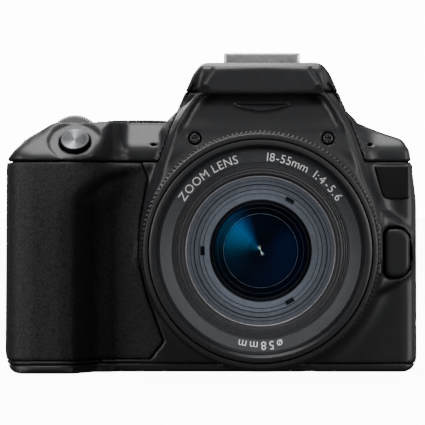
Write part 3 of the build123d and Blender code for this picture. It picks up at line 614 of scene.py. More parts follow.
grip = smax(grip, polygon(Y, Z, GRIP_SIDE), 2.0 * flat)
grip = smax(smax(grip, front_form, 3.0 * flat), Y - 12, 0.1)
soft = (1.2 + 3.8 * np.clip((X - 8) / 12, 0, 1)) * np.clip((75 - Z) / 4, 0.04, 1)
scoop = np.clip((X + 54) / 6, 0, 1) * np.clip((Z - 62) / 3, 0, 1)
outer = smax(smin(slab, grip, 1.6 + 1.4 * scoop), front_form, 0.6 * flat)
outer = smin(outer, hump, 2.5 * np.clip((77 - Z) / 4, 0.04, 1))
outer = smin(outer, housing, soft)
hollow = smax(polygon(Y, Z, BROW_HOLLOW), polygon(X, Z, BROW_SIDES), 2.6)
outer = cut(outer, hollow, 0.6 + 2.6 * np.clip((74 - Z) / 4, 0, 1))
outer = cut(outer, solid(disc(X, Z, (0, 94.3), 17.8), Z - 78.6, Y + 18.5), 0.5)

screen_low, screen_high = limits("screen_panel")
recess = solid(
    screen_low[0] - 0.6 - X, screen_low[1] - 0.4 - Y,
    span(Z, screen_low[2] - 0.6, screen_high[2] + 0.6),
)
outer = cut(outer, recess, 0.5)
inner = outer + WALL
leather_zone = np.maximum(polygon(X, Z, LEATHER), Y - SIDE_SEAM)
skinned = np.minimum(np.maximum(outer, -leather_zone), np.maximum(outer + SKIN, leather_zone))
shell = np.maximum(skinned, -inner)

# Regions of the covers

upright = np.maximum(Z - TOP_SEAM, BASE_SEAM - Z)
shield = solid(polygon(X, Z, HOUSING) - 2.0, Y + 14.6, Z - 82.0)
top_region = np.maximum(TOP_SEAM - Z, -shield)
front_region = np.minimum(np.maximum(upright, Y - SIDE_SEAM), np.maximum(shield, BASE_SEAM - Z))
terminal_low, terminal_high = limits("terminal_door")
terminal = solid(
    40 - X, span(Y, terminal_low[1] - 0.15, terminal_high[1] + 0.15),
    span(Z, terminal_low[2] - 0.15, terminal_high[2] + 0.15),
)


def cover(region):
    return smax(shell, region + SEAM, EDGE)


# Room for the flash head

PIVOT_Y, PIVOT_Z = 1.0, 88.5
FLASH_REACH = 24.3
FLASH_FLOOR = limits("flash_head")[0][2]
around_pivot = np.hypot(Y - PIVOT_Y, Z - PIVOT_Z)


def flash_room(clearance):
    """Where the head lies and turns, widened by a clearance."""
    head = solid(
        around_pivot - FLASH_REACH - clearance, Y - PIVOT_Y, FLASH_FLOOR - 0.7 * clearance - Z)
    behind = solid(PIVOT_Z - Z, span(Y, PIVOT_Y, PIVOT_Y + 2.8 + clearance))
    return np.minimum(np.minimum(head, around_pivot - 2.8 - clearance), behind)


well = np.minimum(
    solid(span(Y, -23, 5.6), span(Z, FLASH_FLOOR - 2.1, FLASH_FLOOR - 0.2)),
    solid(span(Y, 4.1, 5.6), span(Z, FLASH_FLOOR - 2.1, ROOF_Z)),
)

top = cover(top_region)
top = np.minimum(cut(top, flash_room(0.15)), solid(well, inner, np.abs(X) - 30))
top = cut(top, flash_room(0.15), 0.1)

SLIT = [(18.9, 84.4, 0.3), (19.7, 84.9, 0.3), (22.0, 81.1, 0.3), (21.3, 80.6, 0.3)]
slit = solid(polygon(np.abs(X), Z, SLIT), -0.9 - outer, Y + 8)
# The shutter button's seat, tilted forwards
SEAT_R = 7.4
SHUTTER_HOLE_R = 4.5
seat_at = np.array((-54.3, -26.0, 67.9))
tilt = math.radians(45)
seat_up = np.array((0, -math.sin(tilt), math.cos(tilt)))
along = (Y - seat_at[1]) * seat_up[1] + (Z - seat_at[2]) * seat_up[2]
across = np.sqrt(np.maximum(
    (X - seat_at[0]) ** 2 + (Y - seat_at[1]) ** 2 + (Z - seat_at[2]) ** 2 - along ** 2, 0))
dial_at = middle("main_dial")
dial_low, dial_high = limits("main_dial")
DIAL_WELL_R = 8.5
MODE_WELL_R = 12.4
LEVER_REACH = 15.8
BUTTON_HOLE_R = 2.6
mode_at = middle("mode_dial")
mode_low, mode_high = limits("mode_dial")
WELL_Z = limits("power_lever")[0][2] - 0.4
mode_disc = np.hypot(X - mode_at[0], Y - mode_at[1])
top = np.minimum(top, solid(mode_disc - 17.0, span(Z, WELL_Z - 1.6, DECK_Z - 1), slab + 1.0))
sweep = [(mode_at[0], mode_at[1])]
for angle in range(90, 163, 6):
    a = math.radians(angle)
    sweep.append((mode_at[0] + LEVER_REACH * math.cos(a), mode_at[1] + LEVER_REACH * math.sin(a)))
top = cut(top, solid(across - SEAT_R, -0.6 - along, along - SEAT_R), 1.3)
top_cuts = [
    solid(across - SHUTTER_HOLE_R, np.abs(along) - 6),
    solid(disc(X, Z, (dial_at[0], dial_at[2]), DIAL_WELL_R),
          span(Y, dial_low[1] - 0.4, dial_high[1] + 0.4)),
    np.maximum(mode_disc - MODE_WELL_R, WELL_Z - Z),
    np.maximum(polygon(X, Y, sweep), WELL_Z - Z),
    solid(mode_disc - 2.2, span(Z, 60, 80)),
]
for name in ("iso_button", "disp_button"):
    at = middle(name)
    top_cuts.append(solid(disc(X, Y, at, BUTTON_HOLE_R), span(Z, 66, 80)))
eye_at = middle("eyepiece_lens")
top_cuts.append(solid(
    rounded(X, Z, (-10, eye_at[2] - 7.4), (10, eye_at[2] + 7.4), 3), 20 - Y))
diopter_at = middle("diopter_dial")
top_cuts.append(solid(disc(X, Z, (diopter_at[0], diopter_at[2]), 3.1), 31.4 - Y))
MICROPHONE_X = 31.8
STRAP_LUGS = ((-70.6, 66.9, -1), (40.9, 66.4, 1))
LUG_POCKET_R = 2.8
for side in (-1, 1):
    top_cuts.append(solid(
        rounded(X, Z, (side * MICROPHONE_X - 0.8, 66.4), (side * MICROPHONE_X + 0.8, 67.2), 0.35),
        span(Y, -20, -5)))
for x, z, side in STRAP_LUGS:
    start = np.array((x + side * 0.4, 6, z - 1.4))
    way = np.array((side * 0.8, 0, 0.6))
    rise = (X - start[0]) * way[0] + (Z - start[2]) * way[2]
    off = np.sqrt(np.maximum(
        (X - start[0]) ** 2 + (Y - start[1]) ** 2 + (Z - start[2]) ** 2 - rise ** 2, 0))
    top_cuts.append(np.maximum(off - LUG_POCKET_R, -rise))
for part in top_cuts + [slit]:
    top = cut(top, part, 0.3)

collar_at = (33.4, 35.4)
release_low, release_high = limits("lens_release_button")
RELEASE = [
    (release_low[0], release_low[2], 2.0), (release_high[0], release_low[2], 4.0),
    (release_high[0], release_high[2], 4.0), (release_low[0], release_high[2], 2.0),
]
release = polygon(X, Z, RELEASE)
collar = smax(disc(X, Z, collar_at, 11.2), span(Y, FRONT_Y - 2.2, FRONT_Y + 1), 1.6)
collar = smax(collar, 30.0 - X, 0.5)
front = smin(cover(front_region), collar, 2.2)
SCREWS = [(-19.4, 68.5), (19.4, 68.5)]
SCREW_HOLE_R = 1.8
MOUNT_OPENING_R = 27.4
LOCK_PIN_X = 29.6
front_cuts = [
    solid(disc(X, Z, (0, LENS_Z), MOUNT_OPENING_R), Y + 10),
    solid(release - 0.35, Y + 10),
    solid(release - 0.6, Y - FRONT_Y + 0.8),
    terminal,
    solid(disc(X, Z, (LOCK_PIN_X, LENS_Z), 1.3), Y + 10),
] + [solid(disc(X, Z, at, SCREW_HOLE_R), Y + 19) for at in SCREWS]
for part in front_cuts:
    front = cut(front, part, 0.3)
grip_shell = smax(front, X - GRIP_SEAM + SEAM, EDGE)
front = smax(front, GRIP_SEAM + SEAM - X, EDGE)

rear = cover(np.maximum(upright, SIDE_SEAM - Y))
HINGE = (43.5, 27.9)
for z0, z1 in ((screen_low[2] - 1.2, 8.6), (58.4, TOP_SEAM - 0.1)):
    web = solid(np.abs(X - HINGE[0]) - 1.4, span(Y, 23.6, HINGE[1]))
    knuckle = np.minimum(disc(X, Y, HINGE, 2.5), web)
    rear = np.minimum(rear, solid(knuckle, span(Z, z0, z1)))
rear_cuts = [solid(disc(X, Y, HINGE, 1.0), span(Z, 5.8, 61.2)), terminal]
for name, radius in (("direction_pad", 9.7), ("menu_button", 3.0), ("play_button", 3.0)):
    at = middle(name)
    rear_cuts.append(solid(disc(X, Z, (at[0], at[2]), radius), 20 - Y))
for part in rear_cuts:
    rear = cut(rear, part, 0.3)

bottom = cover(Z - BASE_SEAM)
door_low, door_high = limits("battery_door")
bottom_cuts = [
    solid(span(X, door_low[0] - 0.3, door_high[0] + 0.3),
          span(Y, door_low[1] - 0.3, door_high[1] + 0.3), Z - 4),
    solid(disc(X, Y, (0, 0), 6.5), Z - 10),
]
BASE_SCREWS = ((-40, -10), (-40, 22), (36, -10), (38, 20), (14, -14), (-14, 20))
for at in BASE_SCREWS:
    bottom_cuts.append(solid(disc(X, Y, at, SCREW_HOLE_R), Z - 4))
for part in bottom_cuts:
    bottom = cut(bottom, part, 0.3)

rubber = smax(np.maximum(outer, -outer - SKIN), leather_zone + 0.12, 0.7)
flash = smax(smax(outer, flash_room(0.0), 0.3), FLASH_FLOOR - Z, 0.2)
flash = cut(flash, solid(np.abs(X) - 14.5, span(Y, -19.5, -7), Z - 86.5), 0.3)
flash = cut(flash, slit, 0.3)
leaf = smax(np.maximum(outer, -outer - 2.0), terminal + 0.22, EDGE)

PLASTIC = FINISHES["body_plastic"]
SOFT = FINISHES["soft_rubber"]
LENS_BLACK = FINISHES["lens_black"]
for node, form in (("top_cover", top), ("front_cover", front), ("grip_shell", grip_shell),
                   ("rear_cover", rear), ("bottom_cover", bottom)):
    moulded(node + "_shell", grid, form, PLASTIC, "camera_body", [node])
moulded("grip_leather", grid, rubber, FINISHES["leather_rubber"], "camera_body",
        ["grip_rubber"])
moulded("flash_lid", grid, flash, PLASTIC, "flash", ["flash_head"])
moulded("terminal_flap", grid, leaf, SOFT, "side_door", ["terminal_door"])

# Small moulded parts

fine = Grid((-18.5, -27, 80.5), (18.5, -23.6, 90.5), 0.25)
BROW = [
    (-14.4, 82.3), (0, 81.9), (14.4, 82.3), (16.2, 84.3), (13.4, 88.4, 0.6), (0, 88.8),
    (-13.4, 88.4, 0.6), (-16.2, 84.3),
]
BROW_BACK = [
    (-18.6, 81.5), (18.6, 81.5), (16.8, 85.5), (14.3, 89.5), (-14.3, 89.5), (-16.8, 85.5),
]
panel_low, panel_high = limits("prism_panel")
panel = smax(polygon(fine.x, fine.z, BROW) - (fine.y - panel_low[1]) * 1.2,
             polygon(fine.x, fine.z, BROW_BACK), 0.3)
panel = smax(panel, span(fine.y, panel_low[1], panel_high[1] + 0.9), 0.4)
moulded("brow_panel", fine, panel, PLASTIC, "camera_body", ["prism_panel"])

fine = Grid((31.5, -18.4, 49.5), (45, -16.2, 62), 0.2)
badge_low, badge_high = limits("badge_plate")
BADGE = [(35.6, 50.8, 2.4), (43.4, 50.8, 0.8), (43.4, 60.7, 0.8), (33.0, 60.7, 0.8)]
badge = smax(polygon(fine.x, fine.z, BADGE), span(fine.y, badge_low[1], badge_high[1]), 0.5)
moulded("badge", fine, badge, FINISHES["gloss_black"], "camera_body", ["badge_plate"])

shoe_low, shoe_high = limits("hot_shoe")
fine = Grid((-12.4, shoe_low[1] - 1, shoe_low[2] - 1),
            (12.4, shoe_high[1] + 1, shoe_high[2] + 1), 0.2)
shoe = smax(rounded(fine.x, fine.y, shoe_low[:2], shoe_high[:2], 0.8),
            span(fine.z, shoe_low[2], shoe_high[2]), 0.8)
for half_width, high in ((9.5, shoe_high[2] - 0.7), (6.4, shoe_high[2] + 2)):
    shoe = cut(shoe, solid(np.abs(fine.x) - half_width, shoe_low[1] + 1.4 - fine.y,
                           span(fine.z, shoe_low[2] + 0.8, high)), 0.3)
moulded("hot_shoe_rails", fine, shoe, FINISHES["shoe_metal"], "camera_body", ["hot_shoe"])

fine = Grid((34.5, -21, 26.5), (45, -12.5, 44), 0.3)
key = smax(polygon(fine.x, fine.z, RELEASE), span(fine.y, release_low[1], release_high[1]), 1.4)
moulded("release_cap", fine, key, PLASTIC, "release_key", ["lens_release_button"])

fine = Grid((-18, 31.5, 62.5), (18, 40, 86), 0.35)
cup_low, cup_high = limits("eyecup")
cup = smax(rounded(fine.x, fine.z, (cup_low[0], cup_low[2]), (cup_high[0], cup_high[2]), 6),
           span(fine.y, cup_low[1], cup_high[1]), 2.4)
hole = rounded(fine.x, fine.z, (-9.4, eye_at[2] - 6.6), (9.4, eye_at[2] + 6.6), 2.8)
mouth = rounded(fine.x, fine.z, (-11.4, eye_at[2] - 7.8), (11.4, eye_at[2] + 7.8), 4)
cup = cut(cut(cup, hole, 0.6), np.maximum(mouth, 35.4 - fine.y), 1.6)
moulded("eyecup_rubber", fine, cup, SOFT, "camera_body", ["eyecup"])

# Lens, in local axes whose Z points the way that the lens looks

def front_ring(name, profile, material, nodes=(), segments=256):
    """A turned piece of the group that the zoom ring moves."""
    turned(name, profile, material, "front_group", LENS, nodes, segments)


ZOOM_R = (ZOOM_HIGH[0] - ZOOM_LOW[0]) / 2
front_h, back_h = -ZOOM_LOW[1], -ZOOM_HIGH[1]
turned("zoom_grip", [
    (31.1, back_h), (32.4, back_h), (32.9, back_h + 0.5), (32.9, back_h + 3.0),
    (ZOOM_R, back_h + 3.2), (ZOOM_R, front_h - 1.2), (32.95, front_h - 0.5), (32.6, front_h),
    (31.1, front_h)],
    KNURL, "zoom", LENS, ["zoom_ring"], teeth=158, depth=0.55, above=32.5)
BARREL_R = 33.0
PANEL_R = 34.1
barrel_low, barrel_high = limits("lens_barrel")
turned("barrel_tube", [
    (22.5, -barrel_high[1]), (32.3, -barrel_high[1]), (BARREL_R, 31.0), (BARREL_R, 49.1),
    (32.6, 49.6), (30.8, 49.6), (30.8, -barrel_low[1]), (30.0, -barrel_low[1]),
    (30.0, 31.4), (22.5, 31.4)],
    LENS_BLACK, "lens", LENS, ["lens_barrel"], segments=256)
fine = Grid((30, -47.5, LENS_Z - 13), (35.5, -30.5, LENS_Z + 13), 0.3)
axis_distance = np.hypot(fine.x, fine.z - LENS_Z)
plate = smax(np.maximum(axis_distance - PANEL_R, BARREL_R - 1 - axis_distance),
             rounded(fine.y, fine.z, (-46.5, LENS_Z - 12), (-31.5, LENS_Z + 12), 2.0), 0.6)
for name in ("af_switch", "stabiliser_switch"):
    at = middle(name)
    window = rounded(fine.y, fine.z, (-43.2, at[2] - 2.1), (-34.8, at[2] + 2.1), 0.8)
    plate = cut(plate, solid(window, 33.2 - fine.x), 0.2)
moulded("switch_panel", fine, plate, LENS_BLACK, "lens", [])
for name, body in (("af_switch", "af_slider"), ("stabiliser_switch", "stabiliser_slider")):
    low, high = limits(name)
    fine = Grid((32.6, low[1] - 1, low[2] - 1), (35.2, high[1] + 1, high[2] + 1), 0.16)
    knob = smax(rounded(fine.y, fine.z, low[1:], high[1:], 0.7),
                span(fine.x, low[0], PANEL_R + 0.15), 0.3)
    grooves = np.abs((fine.y - low[1] + 0.5) % 1.1 - 0.55) - 0.16
    middle_z = (low[2] + high[2]) / 2
    knob = cut(knob, solid(grooves, PANEL_R - 0.2 - fine.x, np.abs(fine.z - middle_z) - 1.3), 0.1)
    moulded(name + "_knob", fine, knob, PLASTIC, body, [name])
focus_low, focus_high = limits("focus_ring")
turned("focus_grip", [
    (30.9, -focus_high[1]), (32.3, -focus_high[1]), (32.3, -focus_low[1] - 0.6),
    (32.05, -focus_low[1] - 0.15), (31.6, -focus_low[1]), (30.9, -focus_low[1])],
    LENS_BLACK, "focus", LENS, ["focus_ring"], segments=256)
front_ring("front_shroud", [
    (28.2, 81.0), (30.6, 81.0), (30.6, 87.0), (30.45, 87.6), (30.0, 87.8), (29.2, 87.8),
    (28.9, 87.5), (28.9, 84.4), (28.2, 84.4)],
    LENS_BLACK, ["front_bezel"])
threads = []
for i in range(4):
    threads += [(28.9, 87.2 - 0.7 * i), (28.55, 86.85 - 0.7 * i)]
front_ring("filter_thread", [(29.1, 87.2)] + threads + [(28.9, 84.4), (29.1, 84.4)],
           LENS_BLACK, segments=192)
front_ring("name_ring", [
    (28.5, 84.2), (27.9, 84.3), (27.6, 84.45), (24.5, 83.6), (24.3, 83.3), (24.3, 82.3),
    (28.5, 82.3)],
    FINISHES["bezel_grey"])
front_ring("baffles", [
    (24.6, 83.2), (24.1, 83.3), (24.0, 82.8), (23.55, 82.95), (23.45, 82.45), (23.0, 82.6),
    (22.9, 82.1), (22.2, 82.3), (22.1, 81.8), (21.4, 81.9), (20.9, 81.3), (20.7, 80.4),
    (20.7, 78.6), (24.6, 78.6)],
    BAFFLE)

# Glass and what shows behind it
# The cells also emit their grey: painted light standing in for lamp light that the glass holds
# back.
CELL = finish("cell_grey", (0.19, 0.195, 0.21), 0.42, bump=0.003)
painted_glow(CELL, 0.46)
CELL_OUTER = finish("cell_outer", (0.17, 0.172, 0.186), 0.42, bump=0.003)
painted_glow(CELL_OUTER, 0.4)
CELL_DARK = finish("cell_dark", (0.01, 0.01, 0.012), 0.45)
front_ring("outer_rings", [
    (20.6, 76.9), (20.6, 77.9), (19.4, 77.5), (19.1, 76.9), (18.4, 76.7), (18.3, 76.1),
    (17.3, 75.8), (17.1, 75.2), (17.1, 74.9), (20.6, 74.9)],
    CELL_OUTER)
front_ring("retaining_rings", [
    (17.1, 75.1), (16.0, 74.9), (15.8, 74.2), (14.4, 73.6), (14.2, 72.6), (17.1, 72.6)],
    CELL)
# Dark bars for the notches of the rings and bezel: painted shade, drawn instead of cut.
for index, angle in enumerate((180, 60, -60)):
    arc_block(f"cell_notch_shade_{index}", 15.5, 16.7, angle, 4.5, 75.0, 75.35, CELL_DARK, "front_group")
arc_block("bezel_notch_shade", 28.0, 28.6, -30, 1.6, 84.2, 85.0, CELL_DARK, "front_group")
front_ring("inner_cell", [
    (14.3, 72.5), (13.7, 72.5), (13.6, 71.4), (13.1, 71.3), (13.0, 70.2), (11.8, 69.9),
    (11.7, 68.6), (10.5, 68.3), (10.3, 60.0), (6.0, 52.0), (14.3, 52.0)],
    CELL_DARK, segments=192)
GLASS = 20.6
dome = [(0.01, 82.4)] + [(GLASS * t / 12, 82.4 - 2.2 * (t / 12) ** 2) for t in range(1, 13)]
front_ring("front_glass", dome + [(GLASS, 79.6), (0.01, 81.6)], FINISHES["coated_glass"],
           ["front_element"], segments=192)
second = [(0.01, 70.5)] + [(13.0 * t / 10, 70.5 + 3.0 * (t / 10) ** 2) for t in range(1, 11)]
# Share of a turn, and the colour there of a painted reflection in the coating
PAINTED_COATING_REFLECTION = (
    (0.0, (0, 0.035, 0.07)), (0.05, (0.001, 0.012, 0.025)), (0.16, (0.001, 0.004, 0.01)),
    (0.42, (0.002, 0.007, 0.03)), (0.55, (0.002, 0.008, 0.035)), (0.66, (0.0, 0.001, 0.004)),
    (0.79, (0.0, 0.003, 0.01)), (0.82, (0.0, 0.03, 0.11)), (0.87, (0.0, 0.15, 0.38)),
    (0.915, (0.0, 0.13, 0.27)), (1.0, (0, 0.035, 0.07)),
)
# Share of the radius, and the brightness there of painted glints in rings, which goes up to the
# peak that follows
RING_GLINT_PEAK = 1.5
PAINTED_HIGHLIGHT_TURN = 115
PAINTED_RING_GLINTS = (
    (0.0, 0.3), (0.1, 0.5), (0.16, 0.42), (0.28, 0.5), (0.3, 0.75), (0.42, 0.85), (0.6, 1.0),
    (0.76, 0.95), (0.775, 0.3), (0.79, 1.4), (0.805, 0.2), (0.86, 0.4), (0.875, 0.12),
    (0.9, 0.36), (0.97, 0.3), (1.0, 0.05),
)


def painted_glass_glow(name, radius):
    """The dark inner glass, drawn emitting: a painted reflection in the coating as a coloured
    wedge, painted glints as fine rings and a small painted highlight at a bright waist.
    """
    material = finish(name, (0.004, 0.005, 0.007), 0.6, specular=0.0)
    nodes, links = material.node_tree.nodes, material.node_tree.links
    shader = nodes["Principled BSDF"]

    def math_node(kind, first, second=None):
        node = nodes.new("ShaderNodeMath")
        node.operation = kind
        for socket, value in zip(node.inputs, (first, second)):
            if value is None:
                continue
            if isinstance(value, (int, float)):
                socket.default_value = value
            else:
                links.new(value, socket)
        return node.outputs["Value"]

    split = nodes.new("ShaderNodeSeparateXYZ")
    links.new(nodes["Texture Coordinate"].outputs["Object"], split.inputs["Vector"])
    angle = math_node("ARCTAN2", split.outputs["Y"], split.outputs["X"])
    share = math_node("MULTIPLY_ADD", angle, 1 / (2 * math.pi))
    share.node.inputs[2].default_value = 0.5
    squares = math_node("ADD", math_node("POWER", split.outputs["X"], 2),
                        math_node("POWER", split.outputs["Y"], 2))
    distance = math_node("DIVIDE", math_node("SQRT", squares), radius * MM)
    wedge = nodes.new("ShaderNodeValToRGB")
    rings = nodes.new("ShaderNodeValToRGB")
    set_stops(wedge, PAINTED_COATING_REFLECTION)
    set_stops(rings, [(share_of_radius, (value / RING_GLINT_PEAK,) * 3)
                      for share_of_radius, value in PAINTED_RING_GLINTS])
    links.new(share, wedge.inputs["Fac"])
    links.new(distance, rings.inputs["Fac"])
    tinted = nodes.new("ShaderNodeMixRGB")
    tinted.blend_type = "MULTIPLY"
    tinted.inputs["Fac"].default_value = 1
    links.new(wedge.outputs["Color"], tinted.inputs["Color1"])
    links.new(rings.outputs["Color"], tinted.inputs["Color2"])
    turn = math_node("MULTIPLY_ADD", angle, 2)
    turn.node.inputs[2].default_value = -2 * math.radians(PAINTED_HIGHLIGHT_TURN)
    waist = math_node("MULTIPLY", math_node("SUBTRACT", math_node("COSINE", turn), 0.55), 4)
    near = math_node("SUBTRACT", 1, math_node("MULTIPLY", distance, 8.5))
    shine = nodes.new("ShaderNodeClamp")
    painted_waist_highlight = math_node("MULTIPLY", math_node("MAXIMUM", waist, 0),
                             math_node("MAXIMUM", near, 0))
    links.new(painted_waist_highlight, shine.inputs["Value"])
    shone = add_node(nodes, "ShaderNodeMixRGB", {"Color2": (0.5, 0.62, 0.55, 1)})
    links.new(shine.outputs["Result"], shone.inputs["Fac"])
    links.new(tinted.outputs["Color"], shone.inputs["Color1"])
    links.new(shone.outputs["Color"], shader.inputs["Emission Color"])
    shader.inputs["Emission Strength"].default_value = 1.0
    return material


PAINTED_GLASS = painted_glass_glow("painted_coating_glow", 13.0)
RING = finish("eye_ring", (0.3, 0.33, 0.36), 0.3, tint=0.2)
# Thin rings in the lens: the first is pale; the others are dark lines at the cells' steps, painted
# shade for steps whose own shading the emitted grey washes out.
for index, (radius, width, height) in enumerate((
        (10.25, 0.08, 73.0), (11.8, 0.16, 73.4), (13.1, 0.2, 73.8), (15.85, 0.16, 75.2),
        (16.95, 0.2, 76.1), (18.25, 0.28, 77.1), (19.3, 0.12, 77.8))):
    edge, rim = radius + width, height + 0.2
    front_ring(f"eye_ring_{index}", [(radius, height), (edge, height), (edge, rim), (radius, rim)],
               RING if index == 0 else BAFFLE, segments=128)
front_ring("glass_edge", [(20.45, 80.1), (20.7, 80.1), (20.7, 80.5), (20.55, 80.55), (20.45, 80.4)],
           finish("edge_glint", (0.5, 0.46, 0.47), 0.3, tint=0.3, grain=60))
second_front = [(r * 0.985, h - 1.2) for r, h in second[::-1]]
# The second glass is an opaque disc that emits painted reflection and painted highlight.
front_ring("second_glass", [(0.01, 66.0), (12.8, 66.0)] + second_front, PAINTED_GLASS, segments=128)

# Controls

seat = placed(seat_at, seat_up)
turned("shutter_cap", [
    (0.01, 0.25), (1.5, 0.32), (3.2, 0.55), (3.8, 0.66), (4.1, 0.6), (4.28, 0.35),
    (4.28, -1.0), (1.4, -1.0), (1.4, -5.0), (0.01, -5.0)],
    FINISHES["button_metal"], "shutter_key", seat, ["shutter_button"], segments=96)
dial_place = placed((dial_at[0], 0, dial_at[2]), (0, -1, 0))
turned("main_wheel_grip", [
    (0.01, -dial_high[1]), (7.2, -dial_high[1]), (8.0, -dial_high[1] + 0.7),
    (8.0, -dial_low[1] - 0.7), (7.2, -dial_low[1]), (0.01, -dial_low[1])],
    finish("dial_grey", (0.16, 0.163, 0.17), 0.4, bump=0.004), "main_wheel", dial_place,
    ["main_dial"], teeth=66, depth=0.35, above=7.5)
mode_place = placed((mode_at[0], mode_at[1], 0), (0, 0, 1), up=(0, 1, 0))
turned("mode_dial_grip", [
    (0.01, mode_low[2]), (2.0, mode_low[2]), (2.0, 69.5), (9.4, 69.5), (9.4, 73.7), (8.9, 74.4),
    (8.2, 74.4), (8.0, 74.25), (0.01, 74.25)],
    PLASTIC, "mode_wheel", mode_place, ["mode_dial"],
    teeth=54, depth=0.35, above=9.2)
head = Grid((-1.7, -1.7, -1.6), (1.7, 1.7, 0.3), 0.11)
shape_of_head = smax(np.hypot(head.x, head.y) - 1.48, span(head.z, -1.3, 0.1), 0.35)
cross = np.minimum(np.maximum(np.abs(head.x) - 0.95, np.abs(head.y) - 0.2),
                   np.maximum(np.abs(head.y) - 0.95, np.abs(head.x) - 0.2))
shape_of_head = cut(shape_of_head, np.maximum(cross, -0.6 - head.z), 0.05)
head_vertices, head_faces = head.surface(shape_of_head)
FORWARDS = np.array([[1, 0, 0], [0, 0, 1], [0, -1, 0]])
SCREW_DEPTH = 0.35
vertices = [head_vertices @ FORWARDS + (x, HOUSING_Y + SCREW_DEPTH, z) for x, z in SCREWS]
vertices += [head_vertices * (1, -1, -1) + (x, y, SCREW_DEPTH) for x, y in BASE_SCREWS]
faces = [head_faces + len(head_vertices) * i for i in range(len(vertices))]
piece("screw_heads", np.concatenate(vertices), np.concatenate(faces), FINISHES["screw_steel"],
      "camera_body", ["cover_screws"])


# Lettering

def glyph(character, height):
    """Vertices and faces of one closed character, standing on the local X axis."""
    curve = bpy.data.curves.new("glyph", "FONT")
    curve.body = character
    curve.size = height / 0.7
    curve.extrude = 0.03
    curve.resolution_u = 3
    holder = add_object("glyph", curve)
    bpy.context.view_layer.update()
    evaluated = holder.evaluated_get(bpy.context.evaluated_depsgraph_get())
    mesh = bpy.data.meshes.new_from_object(evaluated)
    vertices = np.array([v.co for v in mesh.vertices]).reshape(-1, 3)
    faces = [tuple(p.vertices) for p in mesh.polygons]
    bpy.data.objects.remove(holder)
    bpy.data.meshes.remove(mesh)
    return vertices, faces


def arc_text(name, text, radius, start, end, height, level, material, body, place):
    """Text along an arc about local Z, from one angle to another in degrees.
    level gives the height of the ground at a radius."""
    glyphs = [glyph(c, height) if c != " " else None for c in text]
    widths = [(g[0][:, 0].max() - g[0][:, 0].min()) if g else 0.35 * height for g in glyphs]
    gap = 0.2 * height
    total = sum(widths) + gap * (len(text) - 1)
    squeeze = min(1.0, radius * math.radians(abs(end - start)) / total)
    vertices, faces, run, count = [], [], 0.0, 0
    for g, width in zip(glyphs, widths):
        if g:
            share = (run + width / 2) / total
            angle = math.radians(start + (end - start) * share)
            points = g[0].copy()
            points[:, 0] -= (points[:, 0].max() + points[:, 0].min()) / 2
            points[:, 0] *= squeeze
            points[:, 1] -= height / 2
            c, s = math.cos(angle - math.pi / 2), math.sin(angle - math.pi / 2)
            x = points[:, 0] * c - points[:, 1] * s + radius * math.cos(angle)
            y = points[:, 0] * s + points[:, 1] * c + radius * math.sin(angle)
            vertices.append(np.stack([x, y, level(np.hypot(x, y)) + points[:, 2]], 1))
            faces += [tuple(i + count for i in f) for f in g[1]]
            count += len(points)
        run += width + gap
    return piece(name, np.concatenate(vertices), faces, material, body, place=place, sharp=20)


LETTER_GAP = 0.02
RING_TEXT_R = 26.0
MARK_R = 6.6


def ring_level(radius):
    """Just above the name ring's cone at a radius."""
    return 83.6 + (radius - 24.5) * 0.85 / 3.1 + LETTER_GAP


for index, (text, start, end) in enumerate((
        ("ZOOM", 147, 124), ("LENS", 120.5, 104), ("18-55mm", 86, 60), ("1:4-5.6", 55, 33),
        ("ø58mm", 284, 256))):
    arc_text(f"ring_text_{index}", text, RING_TEXT_R, start, end, 2.3, ring_level, PAINT,
             "front_group", LENS)

mark_level = mode_high[2] + LETTER_GAP
for index in range(8):
    angle = 100 - 45 * index
    arc_text(f"dial_mark_{index}", str(index + 1), MARK_R, angle + 8, angle - 8, 1.5,
             lambda radius: 0 * radius + mark_level, PAINT, "mode_wheel", mode_place)

# Stage, light and camera

def aimed(at, way):
    turn = way.to_track_quat("-Z", "Y").to_matrix().to_4x4()
    return Matrix.Translation(at) @ turn


def lamp(name, at, aim, size, power):
    light = bpy.data.lights.new(name, "AREA")
    light.shape = "RECTANGLE"
    light.size, light.size_y = size
    light.energy = power
    add_object(name, light).matrix_world = aimed(
        Vector(at), (Vector(aim) - Vector(at)).normalized())


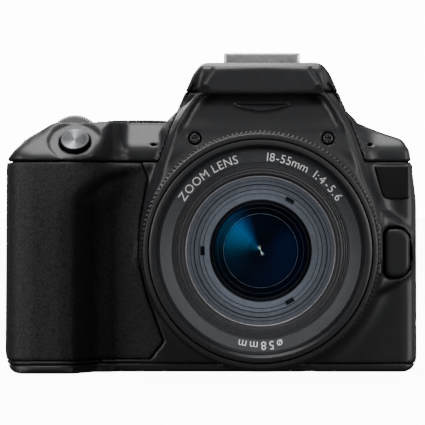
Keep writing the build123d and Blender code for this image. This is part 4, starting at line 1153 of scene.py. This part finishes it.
def stage_material(name, strength):
    material, nodes, links = new_material(name)
    shader = nodes["Principled BSDF"]
    noise = add_node(nodes, "ShaderNodeTexNoise", {"Scale": 2.0})
    ramp = nodes.new("ShaderNodeValToRGB")
    ramp.color_ramp.elements[0].color = (0.93, 0.93, 0.93, 1)
    ramp.color_ramp.elements[1].color = (0.95, 0.95, 0.95, 1)
    links.new(noise.outputs["Fac"], ramp.inputs["Fac"])
    links.new(ramp.outputs["Color"], shader.inputs["Base Color"])
    links.new(ramp.outputs["Color"], shader.inputs["Emission Color"])
    set_inputs(shader, {"Emission Strength": strength, "Roughness": 0.9})
    return material


def sheet(name, points, material):
    mesh = bpy.data.meshes.new(name)
    mesh.from_pydata(points, [], [(0, 1, 2, 3)])
    mesh.materials.append(material)
    obj = add_object(name, mesh)
    return obj


FLOOR_Z = -0.0002
floor = sheet("floor", [(x, y, FLOOR_Z) for x, y in ((-30, -30), (30, -30), (30, 30), (-30, 30))],
              stage_material("floor_white", 12.0))
floor.visible_glossy = False
floor.visible_diffuse = False

# Strength of the white world as light, and as the camera sees it
FILL = 0.055
BACKDROP = 14.0
world = bpy.data.worlds.new("studio")
bpy.context.scene.world = world
world.use_nodes = True
nodes, links = world.node_tree.nodes, world.node_tree.links
background = nodes["Background"]
background.inputs["Color"].default_value = (1, 1, 1, 1)
paths = nodes.new("ShaderNodeLightPath")
bright = add_node(nodes, "ShaderNodeMapRange", {"To Min": FILL, "To Max": BACKDROP})
links.new(paths.outputs["Is Camera Ray"], bright.inputs["Value"])
links.new(bright.outputs["Result"], background.inputs["Strength"])

lamp("top_box", (-0.05, 0.02, 0.8), (0, 0, 0.06), (0.7, 0.42), 8.5)
lamp("left_box", (-1.15, -1.0, 0.4), (0, 0, 0.05), (0.5, 0.7), 12)
lamp("right_box", (1.1, -1.1, 0.25), (0, 0, 0.05), (0.5, 0.7), 15)
lamp("rim_box", (0.8, 0.2, 0.3), (0, 0, 0.05), (0.25, 0.6), 1.5)
lamp("front_box", (0.2, -1.5, 1.05), (0, 0, 0.05), (0.9, 0.7), 2.5)
lamp("rear_box", (-0.4, 1.5, 0.7), (0, 0, 0.05), (0.9, 0.6), 8)

camera = bpy.data.cameras.new("camera")
camera.sensor_width = 36
camera.lens = 298.3
camera.clip_start = 0.05
camera.clip_end = 100
camera_at = Vector((4.5, -1050, 46.9)) * MM
camera_aim = Vector((-14.7, 0, 46.9)) * MM
camera_object = add_object("camera", camera)
camera_object.matrix_world = aimed(camera_at, camera_aim - camera_at)
bpy.context.scene.camera = camera_object
